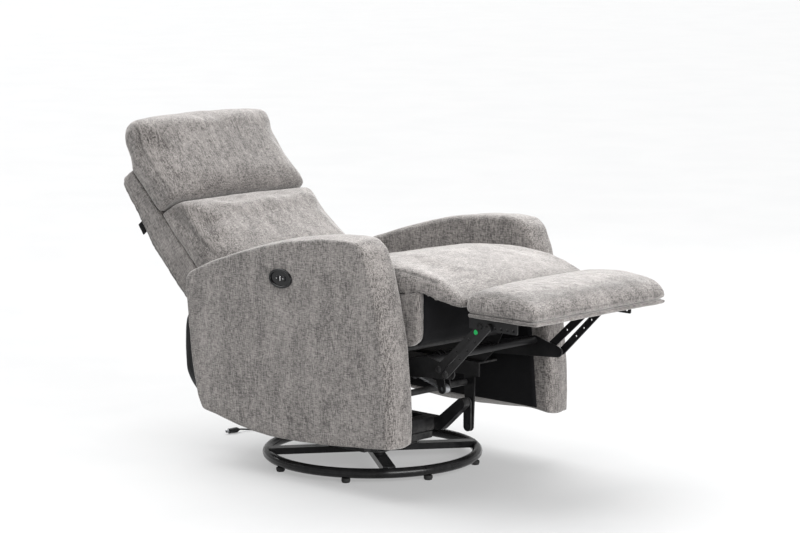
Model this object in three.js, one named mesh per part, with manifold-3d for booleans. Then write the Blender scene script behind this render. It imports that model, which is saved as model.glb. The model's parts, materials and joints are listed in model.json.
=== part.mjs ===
// Power swivel glider recliner on a round ring base, in its fully reclined pose with the footrest out.
// Millimetres, +Z up, the sitter faces -Y. Left and right are the sitter's: left is +X, right is -X.
// The floor is z = 0 and the origin is the middle of the chair's footprint box.
import * as THREE from "three";
import { mergeVertices } from "three/addons/utils/BufferGeometryUtils.js";
import Module from "manifold-3d";

const wasm = await Module();
wasm.setup();

// Fits and clearances
const touchGap = 0.3;
const pivotClearance = 0.4;
const softGap = 0.8;
const cutOverrun = 6;
const weldOverlap = 1;

// Where the swivel axis stands, behind the middle of the footprint
const swivelY = 34;

// Ring base
const ring = { outerRadius: 304, tubeRadius: 14 };
const foot = { radius: 12, height: 12, count: 8, firstAngle: 30, soleShare: 0.85, sideShare: 0.4 };
const cross = { width: 34, height: 18, wall: 4, top: 44, angle: 8, lip: 7 };
const hubPlate = { size: 190, thickness: 5, cornerRadius: 24 };
const bolt = { radius: 7, headRadius: 12, headHeight: 8, nutHeight: 10 };
const race = { innerRadius: 52, outerRadius: 84, height: 9, runningGap: 0.5, innerLip: 6 };
const pan = { length: 270, depth: 200, top: 74, wall: 4, skirt: 19 };

// Glider frame that turns on the pan, and its four hanging links
const cradle = { innerX: 150, thickness: 24, barHeight: 36, barDepth: 40, barY: 72, endRadius: 15 };
const cradleBowShare = 0.58;
const glide = { frontY: -190, upperZ: 160, linkLength: 68, eyeRadius: 14, studRadius: 7 };
const glideLink = { innerX: 178, thickness: 5 };

// Seat box: its rear end sets the places of the back, the rear rail and the actuator
const seatBox = { halfWidth: 262, frontY: -418, depth: 548, rail: 24, frontHeight: 148, rearHeight: 104 };
const seatRear = seatBox.frontY + seatBox.depth;
const behindSeat = { backPivot: 60, glidePivot: 60, rearRail: 102, cushion: 82, tongue: 8 };
const aheadOfSeatRear = { sidePlate: 38, tube: 60 };
const glideRearY = seatRear + behindSeat.glidePivot;

// Chair frame that hangs from the links
const rail = { innerX: 187, thickness: 5, top: 275, barHeight: 40, legRadius: 20, frontY: -225 };
const shelf = { outerX: 262.6, thickness: 5 };
const backPost = { innerX: 226, thickness: 5, radius: 14 };
const backPivot = { y: seatRear + behindSeat.backPivot, z: 500, studRadius: 8, lean: 38.3 };
const rearRail = { frontY: seatRear + behindSeat.rearRail, depth: 30, bottom: 200, top: 268 };
const frontTube = { y: -176, z: 215, radius: 9 };

// Upholstered arms
const arm = { innerX: 267, thickness: 93, frontY: -410, depth: 776, bottom: 114, height: 560 };
const armEdge = { outerRadius: 22, innerRadius: 15, innerBottomRise: 30 };
const lining = { thickness: 3.6, frontMargin: 42, rearMargin: 30, top: 470, bottom: 158 };

// Oval control on the right arm's outer face
const control = { y: -17, z: 548, length: 85, height: 52, depth: 6, rim: 6.5, dish: 2.6 };
const button = { radius: 6.5, spacing: 25, height: 3.8, travel: 1.5, clearance: 0.4 };
const divider = { width: 3, height: 15, depth: 1.2 };

// Seat: top line, steel side plates, cushion
const seatTop = { frontZ: 545, rearZ: 444 };
const seatNoseShares = { drop: 0.76, step: 0.4, stepDrop: 0.92 };
const seatCushion = {
  halfWidth: 261,
  rearY: seatRear + behindSeat.cushion,
  bottom: 430,
  height: 173,
  crown: 8,
  edge: 18,
};
const tongue = { halfWidth: 216, sideSlope: 6, startY: seatRear + behindSeat.tongue, depthShare: 0.96 };
const sidePlateRearY = seatRear - aheadOfSeatRear.sidePlate;
const sidePlate = { innerX: 203, thickness: 5, frontY: -285, rearY: sidePlateRearY, topZ: 388, corner: 9 };
const rearTubeY = seatRear - aheadOfSeatRear.tube;
const seatTube = { radius: 10, frontY: -284, frontZ: 370, rearY: rearTubeY, rearZ: 362 };
const seatSlide = 32;

// Footrest: hinge lines, drive frame, links and brackets
const chaiseHinge = { y: -422.3, z: 540, radius: 4, halfLength: 236 };
const chaise = { halfWidth: 261, frontY: -576, rearY: -421, bottom: 517, height: 80, crown: 8, edge: 16 };
const ottoman = { halfWidth: 262, frontY: -814, rearY: -577, bottom: 509, height: 60, crown: 6, edge: 16 };
const ottomanBoard = { thickness: 11.5, frontInset: 2, rearInset: 6, cornerRadius: 3 };
const drive = { y: -250, z: 320, tubeRadius: 12, plateX: 211, thickness: 4, eyeRadius: 18 };
const elbow = { rearY: -451, rearZ: 342, frontY: -486, frontZ: 334.2, radius: 15 };
const pin = { studRadius: 6, headRadius: 10 };
const stayTube = { y: -406, z: 358, radius: 9, eyeRadius: 12 };
const crank = { dropY: -20, dropZ: -85, eyeRadius: 13, thickness: 4 };
const footLinkA = { innerX: 217, thickness: 4, radius: 11, holeShares: [0.42, 0.7] };
const footLinkB = { innerX: 229, thickness: 4, radius: 10, holeShares: [0.34, 0.52, 0.7] };
const linkHoleRadius = 3;
const bracket = { innerX: 223, thickness: 4, endMargin: 13, rearY: -562, height: 33, cornerRadius: 4 };
const bracketPin = { rearY: -599, frontY: -630, z: 473, holeRadius: 4, holePitch: 20, holes: 4 };

// Linear actuator between the rear seat tube and the crank
const actuator = { rearZ: 329.2, tubeRadius: 16, closedEnd: 97.8, rodShown: 105, rodRadius: 8 };
const actuatorMotor = { radius: 24, length: 92, offset: 44 };
const actuatorEye = { radius: 13, width: 16, pinRadius: 6, neckShare: 0.7, rodShare: 3 };

// Reclining back, in the frame of its own lean
const shell = { halfWidth: 258, bottomZ: 31, length: 505, frontY: 139, depth: 160, edge: 8 };
const shellTopShare = 0.989;
const shellTopZ = shell.bottomZ + shell.length * shellTopShare;
const headOverlap = 178.4;
const headBottom = shellTopZ - headOverlap;
const lumbarBottom = 6;
const lumbarHeight = headBottom - 4 - lumbarBottom;
const lumbar = {
  halfWidth: 260,
  frontY: 27,
  depth: 172,
  bottomZ: lumbarBottom,
  height: lumbarHeight,
  crown: 12,
  edge: 18,
};
const head = {
  halfWidth: 262,
  frontY: 130,
  depth: 104,
  bottomZ: headBottom,
  height: 296,
  crown: 7,
  edge: 16,
};
const backArm = { innerX: 237, thickness: 4, kneeY: 82, kneeZ: -24, radius: 12, eyeRadius: 14 };
const backArmShares = { start: 0.15, end: 0.72 };
const tag = { x: 252, z: 362, width: 20, length: 34, thickness: 2, seamShare: 0.99 };

// Rear flap of stiff cloth
const flap = { halfWidth: 250, thickness: 4, reach: 221, bottom: 147, lipShare: 0.85 };

// Lead to the power supply
const lead = { radius: 2.5, sides: 8, steps: 60 };
const gland = { radius: 8, length: 20, neckRadius: 5, leadX: 60 };
// Points of the lead's fall and run: x, distance behind the gland, height
const leadFall = [
  [60, 0, 160], [60, 5, 138], [59, 19, 112], [58, 45, 80], [57, 79, 46], [56, 119, 20], [54, 155, 7.5],
  [50, 189, 3.6], [42, 225, 3.2], [28, 255, 3.4], [10, 272, 5], [-6, 277, 7.4], [-14, 278, 8],
];
const plug = { radius: 7.5, length: 30, tipRadius: 3.4, tipLength: 9, tailLength: 8, turnShare: 0.12 };

// Surface finishes
const finish = (color, roughness, metalness) =>
  new THREE.MeshStandardMaterial({ color, roughness, metalness });
const fabric = finish(0x8d8782, 0.95, 0);
const lightFabric = finish(0xa29c96, 0.95, 0);
const blackCloth = finish(0x17171a, 0.9, 0);
const darkCloth = finish(0x3c3d40, 0.9, 0);
const blackSteel = finish(0x141416, 0.42, 0.6);
const glossSteel = finish(0x0b0b0c, 0.25, 0.5);
const zincSteel = finish(0x8f9195, 0.4, 0.8);
const blackPlastic = finish(0x101012, 0.5, 0);
const glossPlastic = finish(0x0d0d0f, 0.2, 0);
const rubber = finish(0x151516, 0.85, 0);

const chair = new THREE.Group();
chair.position.y = swivelY;
const root = new THREE.Group();
root.add(chair);

// Shape helpers

const degrees = (angle) => THREE.MathUtils.degToRad(angle);
const shares = (table, origin, size) =>
  table.map(([a, b]) => [origin[0] + a * size[0], origin[1] + b * size[1]]);
const lerp = THREE.MathUtils.lerp;

// A geometry as a closed manifold solid.
function toSolid(geometry) {
  const bare = geometry.clone();
  bare.deleteAttribute("normal");
  bare.deleteAttribute("uv");
  const merged = mergeVertices(bare, 1e-4);
  return new wasm.Manifold(
    new wasm.Mesh({
      numProp: 3,
      vertProperties: merged.getAttribute("position").array,
      triVerts: new Uint32Array(merged.index.array),
    }),
  );
}

function toGeometry(solid) {
  const { numProp, vertProperties, triVerts } = solid.getMesh();
  const points = [];
  for (let i = 0; i < vertProperties.length; i += numProp) {
    points.push(vertProperties[i], vertProperties[i + 1], vertProperties[i + 2]);
  }
  const geometry = new THREE.BufferGeometry();
  geometry.setAttribute("position", new THREE.Float32BufferAttribute(points, 3));
  geometry.setIndex(Array.from(triVerts));
  geometry.computeVertexNormals();
  return geometry;
}

function join(...pieces) {
  return toGeometry(pieces.map(toSolid).reduce((sum, piece) => sum.add(piece)));
}

function cut(base, ...tools) {
  return toGeometry(tools.map(toSolid).reduce((rest, tool) => rest.subtract(tool), toSolid(base)));
}

// Adds a named mesh to a group.
function place(name, geometry, material, group = chair) {
  const mesh = new THREE.Mesh(geometry, material);
  mesh.name = name;
  group.add(mesh);
  return mesh;
}

// Adds the left piece as drawn and the right piece mirrored in the chair's middle plane.
function placePair(name, geometry, material, group = chair) {
  place(name + "_left", geometry, material, group);
  place(name + "_right", geometry, material, group).scale.x = -1;
}

const mirrored = (geometry) => {
  const flipped = toSolid(geometry).mirror([1, 0, 0]);
  return toGeometry(flipped);
};

// A plate lying in the YZ plane from innerX outwards, with round holes.
const sideways = new THREE.Matrix4().makeBasis(
  new THREE.Vector3(0, 1, 0),
  new THREE.Vector3(0, 0, 1),
  new THREE.Vector3(1, 0, 0),
);
function plate(outline, innerX, thickness, holes = []) {
  const shape = new THREE.Shape(outline.map(([y, z]) => new THREE.Vector2(y, z)));
  for (const [y, z, radius] of holes) {
    const hole = new THREE.Path();
    hole.absarc(y, z, radius, 0, 2 * Math.PI, true);
    shape.holes.push(hole);
  }
  const options = { depth: thickness, bevelEnabled: false, curveSegments: 8 };
  const geometry = new THREE.ExtrudeGeometry(shape, options);
  return geometry.applyMatrix4(sideways).translate(innerX, 0, 0);
}

// The convex outline round a few circles, each [y, z, radius].
function roundHull(circles, sides = 14) {
  const points = circles.flatMap(([y, z, radius]) =>
    Array.from({ length: sides }, (_, i) => {
      const angle = (2 * Math.PI * (i + 0.5)) / sides;
      return [y + radius * Math.cos(angle), z + radius * Math.sin(angle)];
    }),
  );
  points.sort((p, q) => p[0] - q[0] || p[1] - q[1]);
  const turn = (o, p, q) => (p[0] - o[0]) * (q[1] - o[1]) - (p[1] - o[1]) * (q[0] - o[0]);
  const half = (list) => {
    const chain = [];
    for (const point of list) {
      while (chain.length > 1 && turn(chain.at(-2), chain.at(-1), point) <= 0) chain.pop();
      chain.push(point);
    }
    return chain.slice(0, -1);
  };
  return [...half(points), ...half(points.toReversed())];
}

// A bar of round section along X.
function rod(fromX, toX, y, z, radius, sides = 16) {
  const geometry = new THREE.CylinderGeometry(radius, radius, toX - fromX, sides);
  return geometry.rotateZ(-Math.PI / 2).translate((fromX + toX) / 2, y, z);
}

function block(lowest, highest) {
  const size = highest.map((value, i) => value - lowest[i]);
  const middle = highest.map((value, i) => (value + lowest[i]) / 2);
  return new THREE.BoxGeometry(...size).translate(...middle);
}

function disc(radius, bottomZ, topZ, sides = 24) {
  const geometry = new THREE.CylinderGeometry(radius, radius, topZ - bottomZ, sides);
  return geometry.rotateX(Math.PI / 2).translate(0, 0, (bottomZ + topZ) / 2);
}

// Turns a closed profile of [radius, z] points round the Z axis.
function lathe(profile, segments = 32) {
  const points = [...profile, profile[0]].map(([r, z]) => new THREE.Vector2(r, z));
  return new THREE.LatheGeometry(points, segments).rotateX(Math.PI / 2);
}

// A closed skin over rings of [x, y, z] points that run round the X axis, ordered by x.
function loft(rings) {
  const count = rings[0].length;
  const faces = [];
  for (let i = 0; i + 1 < rings.length; i++) {
    for (let j = 0; j < count; j++) {
      const k = (j + 1) % count;
      const [a, b, c, d] = [i * count + j, i * count + k, (i + 1) * count + k, (i + 1) * count + j];
      faces.push(a, b, d, b, c, d);
    }
  }
  const cap = (ring) =>
    THREE.ShapeUtils.triangulateShape(ring.map(([, y, z]) => new THREE.Vector2(y, z)), []);
  const last = (rings.length - 1) * count;
  for (const [a, b, c] of cap(rings[0])) faces.push(a, c, b);
  for (const [a, b, c] of cap(rings.at(-1))) faces.push(last + a, last + b, last + c);
  const geometry = new THREE.BufferGeometry();
  geometry.setAttribute("position", new THREE.Float32BufferAttribute(rings.flat(2), 3));
  geometry.setIndex(faces);
  geometry.computeVertexNormals();
  return geometry;
}

// Moves each point of an anticlockwise outline inwards by its own amount.
function inset(outline, amount) {
  const count = outline.length;
  return outline.map(([y, z], i) => {
    const before = outline[(i + count - 1) % count];
    const after = outline[(i + 1) % count];
    const [dy, dz] = [after[0] - before[0], after[1] - before[1]];
    const length = Math.hypot(dy, dz);
    const depth = amount(i);
    return [y - (dz / length) * depth, z + (dy / length) * depth];
  });
}

// A cushion across the chair: its outline swells in the middle by a crown and has rounded ends.
// softness says for each outline point how far it follows them, from 0 where it rests to 1.
const cushionStationShares = [0, 0.4, 0.7, 0.86, 0.94, 0.985, 1];
const restingShare = 0.3;
function cushion(outline, softness, { halfWidth, crown, edge }, notch) {
  const stations = [...cushionStationShares, ...(notch?.stationShares ?? [])].sort();
  const bothSides = [...stations.slice(1).reverse().map((station) => -station), ...stations];
  return loft(
    bothSides.map((station) => {
      const x = station * halfWidth;
      const into = Math.max(0, Math.abs(x) - (halfWidth - edge)) / edge;
      const rounding = edge * (1 - Math.sqrt(1 - Math.min(1, into * into)));
      const swell = crown * (1 - station * station);
      const amount = (i) => lerp(restingShare, 1, softness[i]) * rounding - softness[i] * swell;
      const inNotch = notch && Math.abs(station) > notch.stationShares[0];
      return inset(outline, amount).map(([y, z]) => {
        const pulledIn = inNotch ? Math.max(0, y - notch.rearY) * notch.depthShare : 0;
        return [x, y - pulledIn, z];
      });
    }),
  );
}

// Ring base

const ringTubeCentre = ring.outerRadius - ring.tubeRadius;
const ringZ = foot.height + touchGap + ring.tubeRadius;
const torus = (tubeRadius) =>
  new THREE.TorusGeometry(ringTubeCentre, tubeRadius, 12, 60).translate(0, 0, ringZ);
place("ring", torus(ring.tubeRadius), glossSteel);

for (let i = 0; i < foot.count; i++) {
  const angle = degrees(foot.firstAngle + (i * 360) / foot.count);
  const profile = [
    [0, 0],
    [foot.radius * foot.soleShare, 0],
    [foot.radius, foot.height * foot.sideShare],
    [foot.radius, foot.height],
    [0, foot.height],
  ].map(([r, z]) => new THREE.Vector2(r, z));
  const geometry = new THREE.LatheGeometry(profile, 16).rotateX(Math.PI / 2);
  geometry.translate(ringTubeCentre * Math.cos(angle), ringTubeCentre * Math.sin(angle), 0);
  place("foot_" + (i + 1), geometry, rubber);
}

// The cross is two channels, open below, coped to the ring's tube.
const crossBottom = cross.top - cross.height;
const crossHalf = ringTubeCentre;
const channel = () => {
  const halfWidth = cross.width / 2;
  return cut(
    block([-crossHalf, -halfWidth, crossBottom], [crossHalf, halfWidth, cross.top]),
    block(
      [-crossHalf - cutOverrun, cross.wall - halfWidth, crossBottom - cutOverrun],
      [crossHalf + cutOverrun, halfWidth - cross.wall, cross.top - cross.wall],
    ),
  );
};
const crossBars = join(channel(), channel().rotateZ(Math.PI / 2)).rotateZ(degrees(45 + cross.angle));
const crossPiece = cut(
  crossBars,
  torus(ring.tubeRadius + touchGap),
  disc(bolt.radius + pivotClearance, crossBottom - cutOverrun, cross.top + cutOverrun),
);
place("cross", largestPart(crossPiece), glossSteel);

// Only the body that holds the middle stays: slivers outside the ring's tube fall away.
function largestPart(geometry) {
  const parts = toSolid(geometry).decompose();
  parts.sort((a, b) => b.volume() - a.volume());
  return toGeometry(parts[0]);
}

const hubBottom = cross.top + touchGap;
const hubTop = hubBottom + hubPlate.thickness;
const hubCorner = hubPlate.size / 2 - hubPlate.cornerRadius;
const hubOutline = roundHull(
  [
    [-hubCorner, -hubCorner, hubPlate.cornerRadius],
    [hubCorner, -hubCorner, hubPlate.cornerRadius],
    [hubCorner, hubCorner, hubPlate.cornerRadius],
    [-hubCorner, hubCorner, hubPlate.cornerRadius],
  ],
  16,
);
const flatPlate = (outline, bottomZ, thickness, holeRadius) => {
  const shape = new THREE.Shape(outline.map(([x, y]) => new THREE.Vector2(x, y)));
  const hole = new THREE.Path();
  hole.absarc(0, 0, holeRadius, 0, 2 * Math.PI, true);
  shape.holes.push(hole);
  const options = { depth: thickness, bevelEnabled: false, curveSegments: 8 };
  return new THREE.ExtrudeGeometry(shape, options).translate(0, 0, bottomZ);
};
const boltHole = bolt.radius + pivotClearance;
const hub = flatPlate(hubOutline, hubBottom, hubPlate.thickness, boltHole);
place("hub_plate", hub.rotateZ(degrees(cross.angle)), blackSteel);

const racePart = (bottomZ, name) =>
  place(
    name,
    lathe([
      [race.innerRadius, bottomZ],
      [race.outerRadius, bottomZ],
      [race.outerRadius, bottomZ + race.height - race.innerLip / 2],
      [race.outerRadius - race.innerLip, bottomZ + race.height],
      [race.innerRadius + race.innerLip, bottomZ + race.height],
      [race.innerRadius, bottomZ + race.height - race.innerLip / 2],
    ]),
    zincSteel,
  );
const lowerRaceZ = hubTop + touchGap;
const upperRaceZ = pan.top - pan.wall - touchGap - race.height;
racePart(lowerRaceZ, "bearing_race_lower");
racePart(upperRaceZ, "bearing_race_upper");

// The pan covers the bearing, and its skirt hangs round the hub plate.
const panHalfX = pan.length / 2;
const panHalfY = pan.depth / 2;
const panBottom = pan.top - pan.skirt;
place(
  "swivel_pan",
  cut(
    block([-panHalfX, -panHalfY, panBottom], [panHalfX, panHalfY, pan.top]),
    block(
      [pan.wall - panHalfX, pan.wall - panHalfY, panBottom - cutOverrun],
      [panHalfX - pan.wall, panHalfY - pan.wall, pan.top - pan.wall],
    ),
    disc(boltHole, pan.top - pan.wall - cutOverrun, pan.top + cutOverrun),
  ),
  blackSteel,
);

const boltTop = pan.top + touchGap + bolt.nutHeight;
const boltHeadTop = cross.top - cross.wall - touchGap;
place(
  "pivot_bolt",
  join(
    disc(bolt.radius, crossBottom, boltTop),
    disc(bolt.headRadius, boltHeadTop - bolt.headHeight, boltHeadTop, 6),
    disc(bolt.headRadius, pan.top + touchGap, boltTop, 6),
  ),
  zincSteel,
);

// Glider frame: two cross bars on the pan and two bowed cradles that carry the link pivots

const frameBottom = pan.top + touchGap;
const barMiddleZ = frameBottom + cradle.barHeight / 2;
const barHalf = cradle.barHeight / 2;
const upperLinkZ = glide.upperZ;
const lowerLinkZ = glide.upperZ - glide.linkLength;
const cradleOuterX = cradle.innerX + cradle.thickness;
const cradlePlate = (circles) => plate(roundHull(circles), cradle.innerX, cradle.thickness);
const frontBowY = glide.frontY * cradleBowShare;
const rearBowY = glideRearY * cradleBowShare;
const cradleSide = join(
  cradlePlate([
    [frontBowY, barMiddleZ, barHalf],
    [rearBowY, barMiddleZ, barHalf],
  ]),
  cradlePlate([
    [frontBowY, barMiddleZ, barHalf],
    [glide.frontY, upperLinkZ, cradle.endRadius],
  ]),
  cradlePlate([
    [rearBowY, barMiddleZ, barHalf],
    [glideRearY, upperLinkZ, cradle.endRadius],
  ]),
  ...[glide.frontY, glideRearY].map((y) =>
    rod(
      cradleOuterX - weldOverlap,
      glideLink.innerX + glideLink.thickness + weldOverlap,
      y,
      upperLinkZ,
      glide.studRadius,
    ),
  ),
);
const crossBar = (side) =>
  block(
    [-cradle.innerX - weldOverlap, side * cradle.barY - cradle.barDepth / 2, frameBottom],
    [cradle.innerX + weldOverlap, side * cradle.barY + cradle.barDepth / 2, frameBottom + cradle.barHeight],
  );
place(
  "glider_frame",
  join(cradleSide, mirrored(cradleSide), crossBar(-1), crossBar(1)),
  blackSteel,
);

const linkHole = glide.studRadius + pivotClearance;
for (const [name, y] of [
  ["glide_link_front", glide.frontY],
  ["glide_link_rear", glideRearY],
]) {
  const outline = roundHull([
    [y, upperLinkZ, glide.eyeRadius],
    [y, lowerLinkZ, glide.eyeRadius],
  ]);
  const holes = [
    [y, upperLinkZ, linkHole],
    [y, lowerLinkZ, linkHole],
  ];
  placePair(name, plate(outline, glideLink.innerX, glideLink.thickness, holes), blackSteel);
}

// Chair frame: hanger rails with shelf and back post, cross tube, rear rail

const railBack = rearRail.frontY - touchGap;
const railBottom = rail.top - rail.barHeight;
const hangerPlate = (circles) => plate(roundHull(circles), rail.innerX, rail.thickness);
const hangerLeg = (y) =>
  hangerPlate([
    [y, lowerLinkZ, glide.eyeRadius + touchGap],
    [y, railBottom, rail.legRadius],
  ]);
const hangerStud = (y) =>
  rod(
    glideLink.innerX - weldOverlap,
    rail.innerX + weldOverlap,
    y,
    lowerLinkZ,
    glide.studRadius,
  );
const railBar = block(
  [rail.innerX, rail.frontY, railBottom],
  [rail.innerX + rail.thickness, railBack, rail.top],
);
const shelfBar = block(
  [rail.innerX, rail.frontY, rail.top - shelf.thickness],
  [shelf.outerX, railBack, rail.top],
);
const postPlate = plate(
  roundHull([
    [backPivot.y, backPivot.z, backPost.radius],
    [backPivot.y, rail.top - shelf.thickness + backPost.radius, backPost.radius],
  ]),
  backPost.innerX,
  backPost.thickness,
);
const postStud = rod(
  backPost.innerX + weldOverlap,
  backArm.innerX + backArm.thickness + weldOverlap,
  backPivot.y,
  backPivot.z,
  backPivot.studRadius,
);
placePair(
  "hanger_rail",
  join(
    railBar,
    shelfBar,
    hangerLeg(glide.frontY),
    hangerLeg(glideRearY),
    hangerStud(glide.frontY),
    hangerStud(glideRearY),
    postPlate,
    postStud,
  ),
  blackSteel,
);
const tubeHalf = rail.innerX - touchGap;
place("front_cross_tube", rod(-tubeHalf, tubeHalf, frontTube.y, frontTube.z, frontTube.radius), blackSteel);

const railHalf = shelf.outerX;
place(
  "rear_cross_rail",
  block(
    [-railHalf, rearRail.frontY, rearRail.bottom],
    [railHalf, rearRail.frontY + rearRail.depth, rearRail.top],
  ),
  finish(0x8a6f4d, 0.8, 0),
);

// Arms: a crowned side outline, whose lower edge lies higher on the inside

const armOutlineShares = [
  [0.001, 0.05], [0, 0.171], [0.003, 0.291], [0.021, 0.518], [0.052, 0.725], [0.082, 0.868],
  [0.113, 0.957], [0.155, 0.995], [0.209, 1], [0.326, 0.991], [0.495, 0.957], [0.61, 0.92],
  [0.744, 0.866], [0.874, 0.809], [0.973, 0.762], [1, 0.721], [0.995, 0.636], [0.985, 0.498],
  [0.974, 0.35], [0.961, 0.254], [0.942, 0.132], [0.916, 0.068], [0.851, 0.057], [0.771, 0.032],
  [0.669, 0.009], [0.57, 0], [0.421, 0.002], [0.296, 0.013], [0.182, 0.029], [0.09, 0.041],
];
const armBottomRiseShares = [
  0.07, 0, 0, 0, 0, 0, 0, 0, 0, 0, 0, 0, 0, 0, 0, 0, 0, 0, 0, 0, 0, 0.13, 0.27, 0.67, 1.07, 1.23, 1.27,
  1.23, 0.97, 0.5,
];
const armOuterX = arm.innerX + arm.thickness;
// The outline is listed clockwise in the side view and is turned round for the loft.
const armOutline = shares(armOutlineShares, [arm.frontY, arm.bottom], [arm.depth, arm.height]);
const armSection = (inwards) =>
  armOutline.map(([y, z], i) => [y, z + inwards * armBottomRiseShares[i] * armEdge.innerBottomRise]);
const armStationShares = [0, 0.04, 0.14, 0.3, 0.55, 0.8, 0.93, 0.985, 1];
const roundingAt = (distance, radius) => {
  const into = Math.max(0, 1 - distance / radius);
  return radius * (1 - Math.sqrt(1 - into * into));
};
placePair(
  "arm",
  loft(
    armStationShares.map((share) => {
      const x = arm.innerX + share * arm.thickness;
      const amount =
        roundingAt(armOuterX - x, armEdge.outerRadius) + roundingAt(x - arm.innerX, armEdge.innerRadius);
      const ringOutline = armSection(1 - share).toReversed();
      return inset(ringOutline, () => amount).map(([y, z]) => [x, y, z]);
    }),
  ),
  fabric,
);

const liningOutline = [
  [arm.frontY + lining.frontMargin, lining.bottom],
  [arm.frontY + arm.depth - lining.rearMargin - lining.frontMargin, lining.bottom],
  [arm.frontY + arm.depth - lining.rearMargin, lining.top],
  [arm.frontY + lining.frontMargin + lining.rearMargin, lining.top],
];
const liningX = arm.innerX - touchGap - lining.thickness;
placePair("arm_lining", plate(liningOutline, liningX, lining.thickness), blackCloth);

// Oval control with two push buttons, on the right arm

const controlFace = -armOuterX - touchGap;
const oval = (halfLength, halfHeight) => {
  const curve = new THREE.EllipseCurve(control.y, control.z, halfLength, halfHeight);
  return curve.getPoints(28).slice(0, -1).map(({ x, y }) => [x, y]);
};
const buttonY = [control.y - button.spacing / 2, control.y + button.spacing / 2];
const buttonHoles = buttonY.map((y) => [y, control.z, button.radius + button.clearance]);
const dishFloor = controlFace - control.depth + control.dish;
place(
  "control_bezel",
  join(
    cut(
      plate(
        oval(control.length / 2, control.height / 2),
        controlFace - control.depth,
        control.depth,
        buttonHoles,
      ),
      plate(
        oval(control.length / 2 - control.rim, control.height / 2 - control.rim),
        controlFace - control.depth - cutOverrun,
        cutOverrun + control.dish,
      ),
    ),
    block(
      [dishFloor - divider.depth, control.y - divider.width / 2, control.z - divider.height / 2],
      [dishFloor + weldOverlap, control.y + divider.width / 2, control.z + divider.height / 2],
    ),
  ),
  glossPlastic,
);
const buttonInner = controlFace - touchGap - button.travel;
[["button_close", 0], ["button_open", 1]].forEach(([name, i]) =>
  place(
    name,
    rod(buttonInner - button.height, buttonInner, buttonY[i], control.z, button.radius),
    blackPlastic,
  ),
);

// Seat box, side plates, tubes and cushion

const seatTopAt = (y) =>
  lerp(seatTop.frontZ, seatTop.rearZ, (y - seatBox.frontY) / seatBox.depth);
const seatBoxOutline = [
  [seatBox.frontY, seatTop.frontZ],
  [seatBox.frontY, seatTop.frontZ - seatBox.frontHeight * seatNoseShares.drop],
  [
    seatBox.frontY + seatBox.rail * seatNoseShares.step,
    seatTop.frontZ - seatBox.frontHeight * seatNoseShares.stepDrop,
  ],
  [seatBox.frontY + seatBox.rail, seatTop.frontZ - seatBox.frontHeight],
  [seatRear, seatTop.rearZ - seatBox.rearHeight],
  [seatRear, seatTop.rearZ],
];
const acrossPlate = (outline, halfWidth) => plate(outline, -halfWidth, 2 * halfWidth);
place(
  "seat_box",
  cut(
    acrossPlate(seatBoxOutline, seatBox.halfWidth),
    block(
      [seatBox.rail - seatBox.halfWidth, seatBox.frontY + seatBox.rail, 0],
      [seatBox.halfWidth - seatBox.rail, seatRear - seatBox.rail, seatTop.frontZ + cutOverrun],
    ),
  ),
  fabric,
);

const tubeHole = seatTube.radius + pivotClearance;
const plateFoot = rail.top + touchGap + sidePlate.corner;
placePair(
  "seat_side_plate",
  plate(
    roundHull([
      [drive.y, drive.z, drive.eyeRadius],
      [sidePlate.frontY, sidePlate.topZ - sidePlate.corner, sidePlate.corner * 2],
      [sidePlate.rearY, sidePlate.topZ - sidePlate.corner, sidePlate.corner],
      [sidePlate.rearY, plateFoot, sidePlate.corner],
      [rail.frontY, plateFoot, sidePlate.corner],
    ]),
    sidePlate.innerX,
    sidePlate.thickness,
    [
      [drive.y, drive.z, drive.tubeRadius + pivotClearance],
      [seatTube.frontY, seatTube.frontZ, tubeHole],
      [seatTube.rearY, seatTube.rearZ, tubeHole],
    ],
  ),
  blackSteel,
);
const seatTubeHalf = seatBox.halfWidth - seatBox.rail - touchGap;
place(
  "seat_tube_front",
  rod(-seatTubeHalf, seatTubeHalf, seatTube.frontY, seatTube.frontZ, seatTube.radius),
  blackSteel,
);
const earInner = actuatorEye.width / 2 + pivotClearance;
const ear = plate(
  roundHull([
    [seatTube.rearY, seatTube.rearZ, seatTube.radius + crank.thickness],
    [rearTubeY, actuator.rearZ, actuatorEye.radius],
  ]),
  earInner,
  crank.thickness,
);
place(
  "seat_tube_rear",
  join(
    rod(-seatTubeHalf, seatTubeHalf, seatTube.rearY, seatTube.rearZ, seatTube.radius),
    ear,
    mirrored(ear),
  ),
  blackSteel,
);

// The cushion rests on the box, and its tongue reaches back between the back's pivot posts.
const seatBottomAt = (y) => seatTopAt(y) + softGap;
const seatFront = seatBox.frontY + touchGap;
const seatRestShares = [0, 0.25, 0.5, 0.73, 0.87];
const seatRoundShares = [
  [0.902, 0.064], [0.981, 0.069], [1, 0.127], [1, 0.22], [0.99, 0.318], [0.962, 0.387], [0.902, 0.457],
  [0.806, 0.555], [0.663, 0.682], [0.505, 0.809], [0.338, 0.936], [0.187, 1], [0.104, 1], [0.031, 0.96],
  [0.003, 0.879], [0, 0.78],
];
const seatLength = seatCushion.rearY - seatFront;
const seatOutline = [
  ...seatRestShares.map((share) => {
    const y = seatFront + share * seatLength;
    return [y, seatBottomAt(y)];
  }),
  ...shares(seatRoundShares, [seatFront, seatCushion.bottom], [seatLength, seatCushion.height]),
];
const seatSoftness = seatOutline.map((_, i) => {
  const free = i - seatRestShares.length;
  return free < 6 || free > 13 ? 0 : 1;
});
const tongueSides = [tongue.halfWidth, tongue.halfWidth + tongue.sideSlope];
const seatNotch = {
  rearY: tongue.startY,
  depthShare: tongue.depthShare,
  stationShares: tongueSides.map((x) => x / seatCushion.halfWidth),
};
place("seat_cushion", cushion(seatOutline, seatSoftness, seatCushion, seatNotch), lightFabric);

// Chaise pad on its hinge rod, and the ottoman with its board

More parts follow.
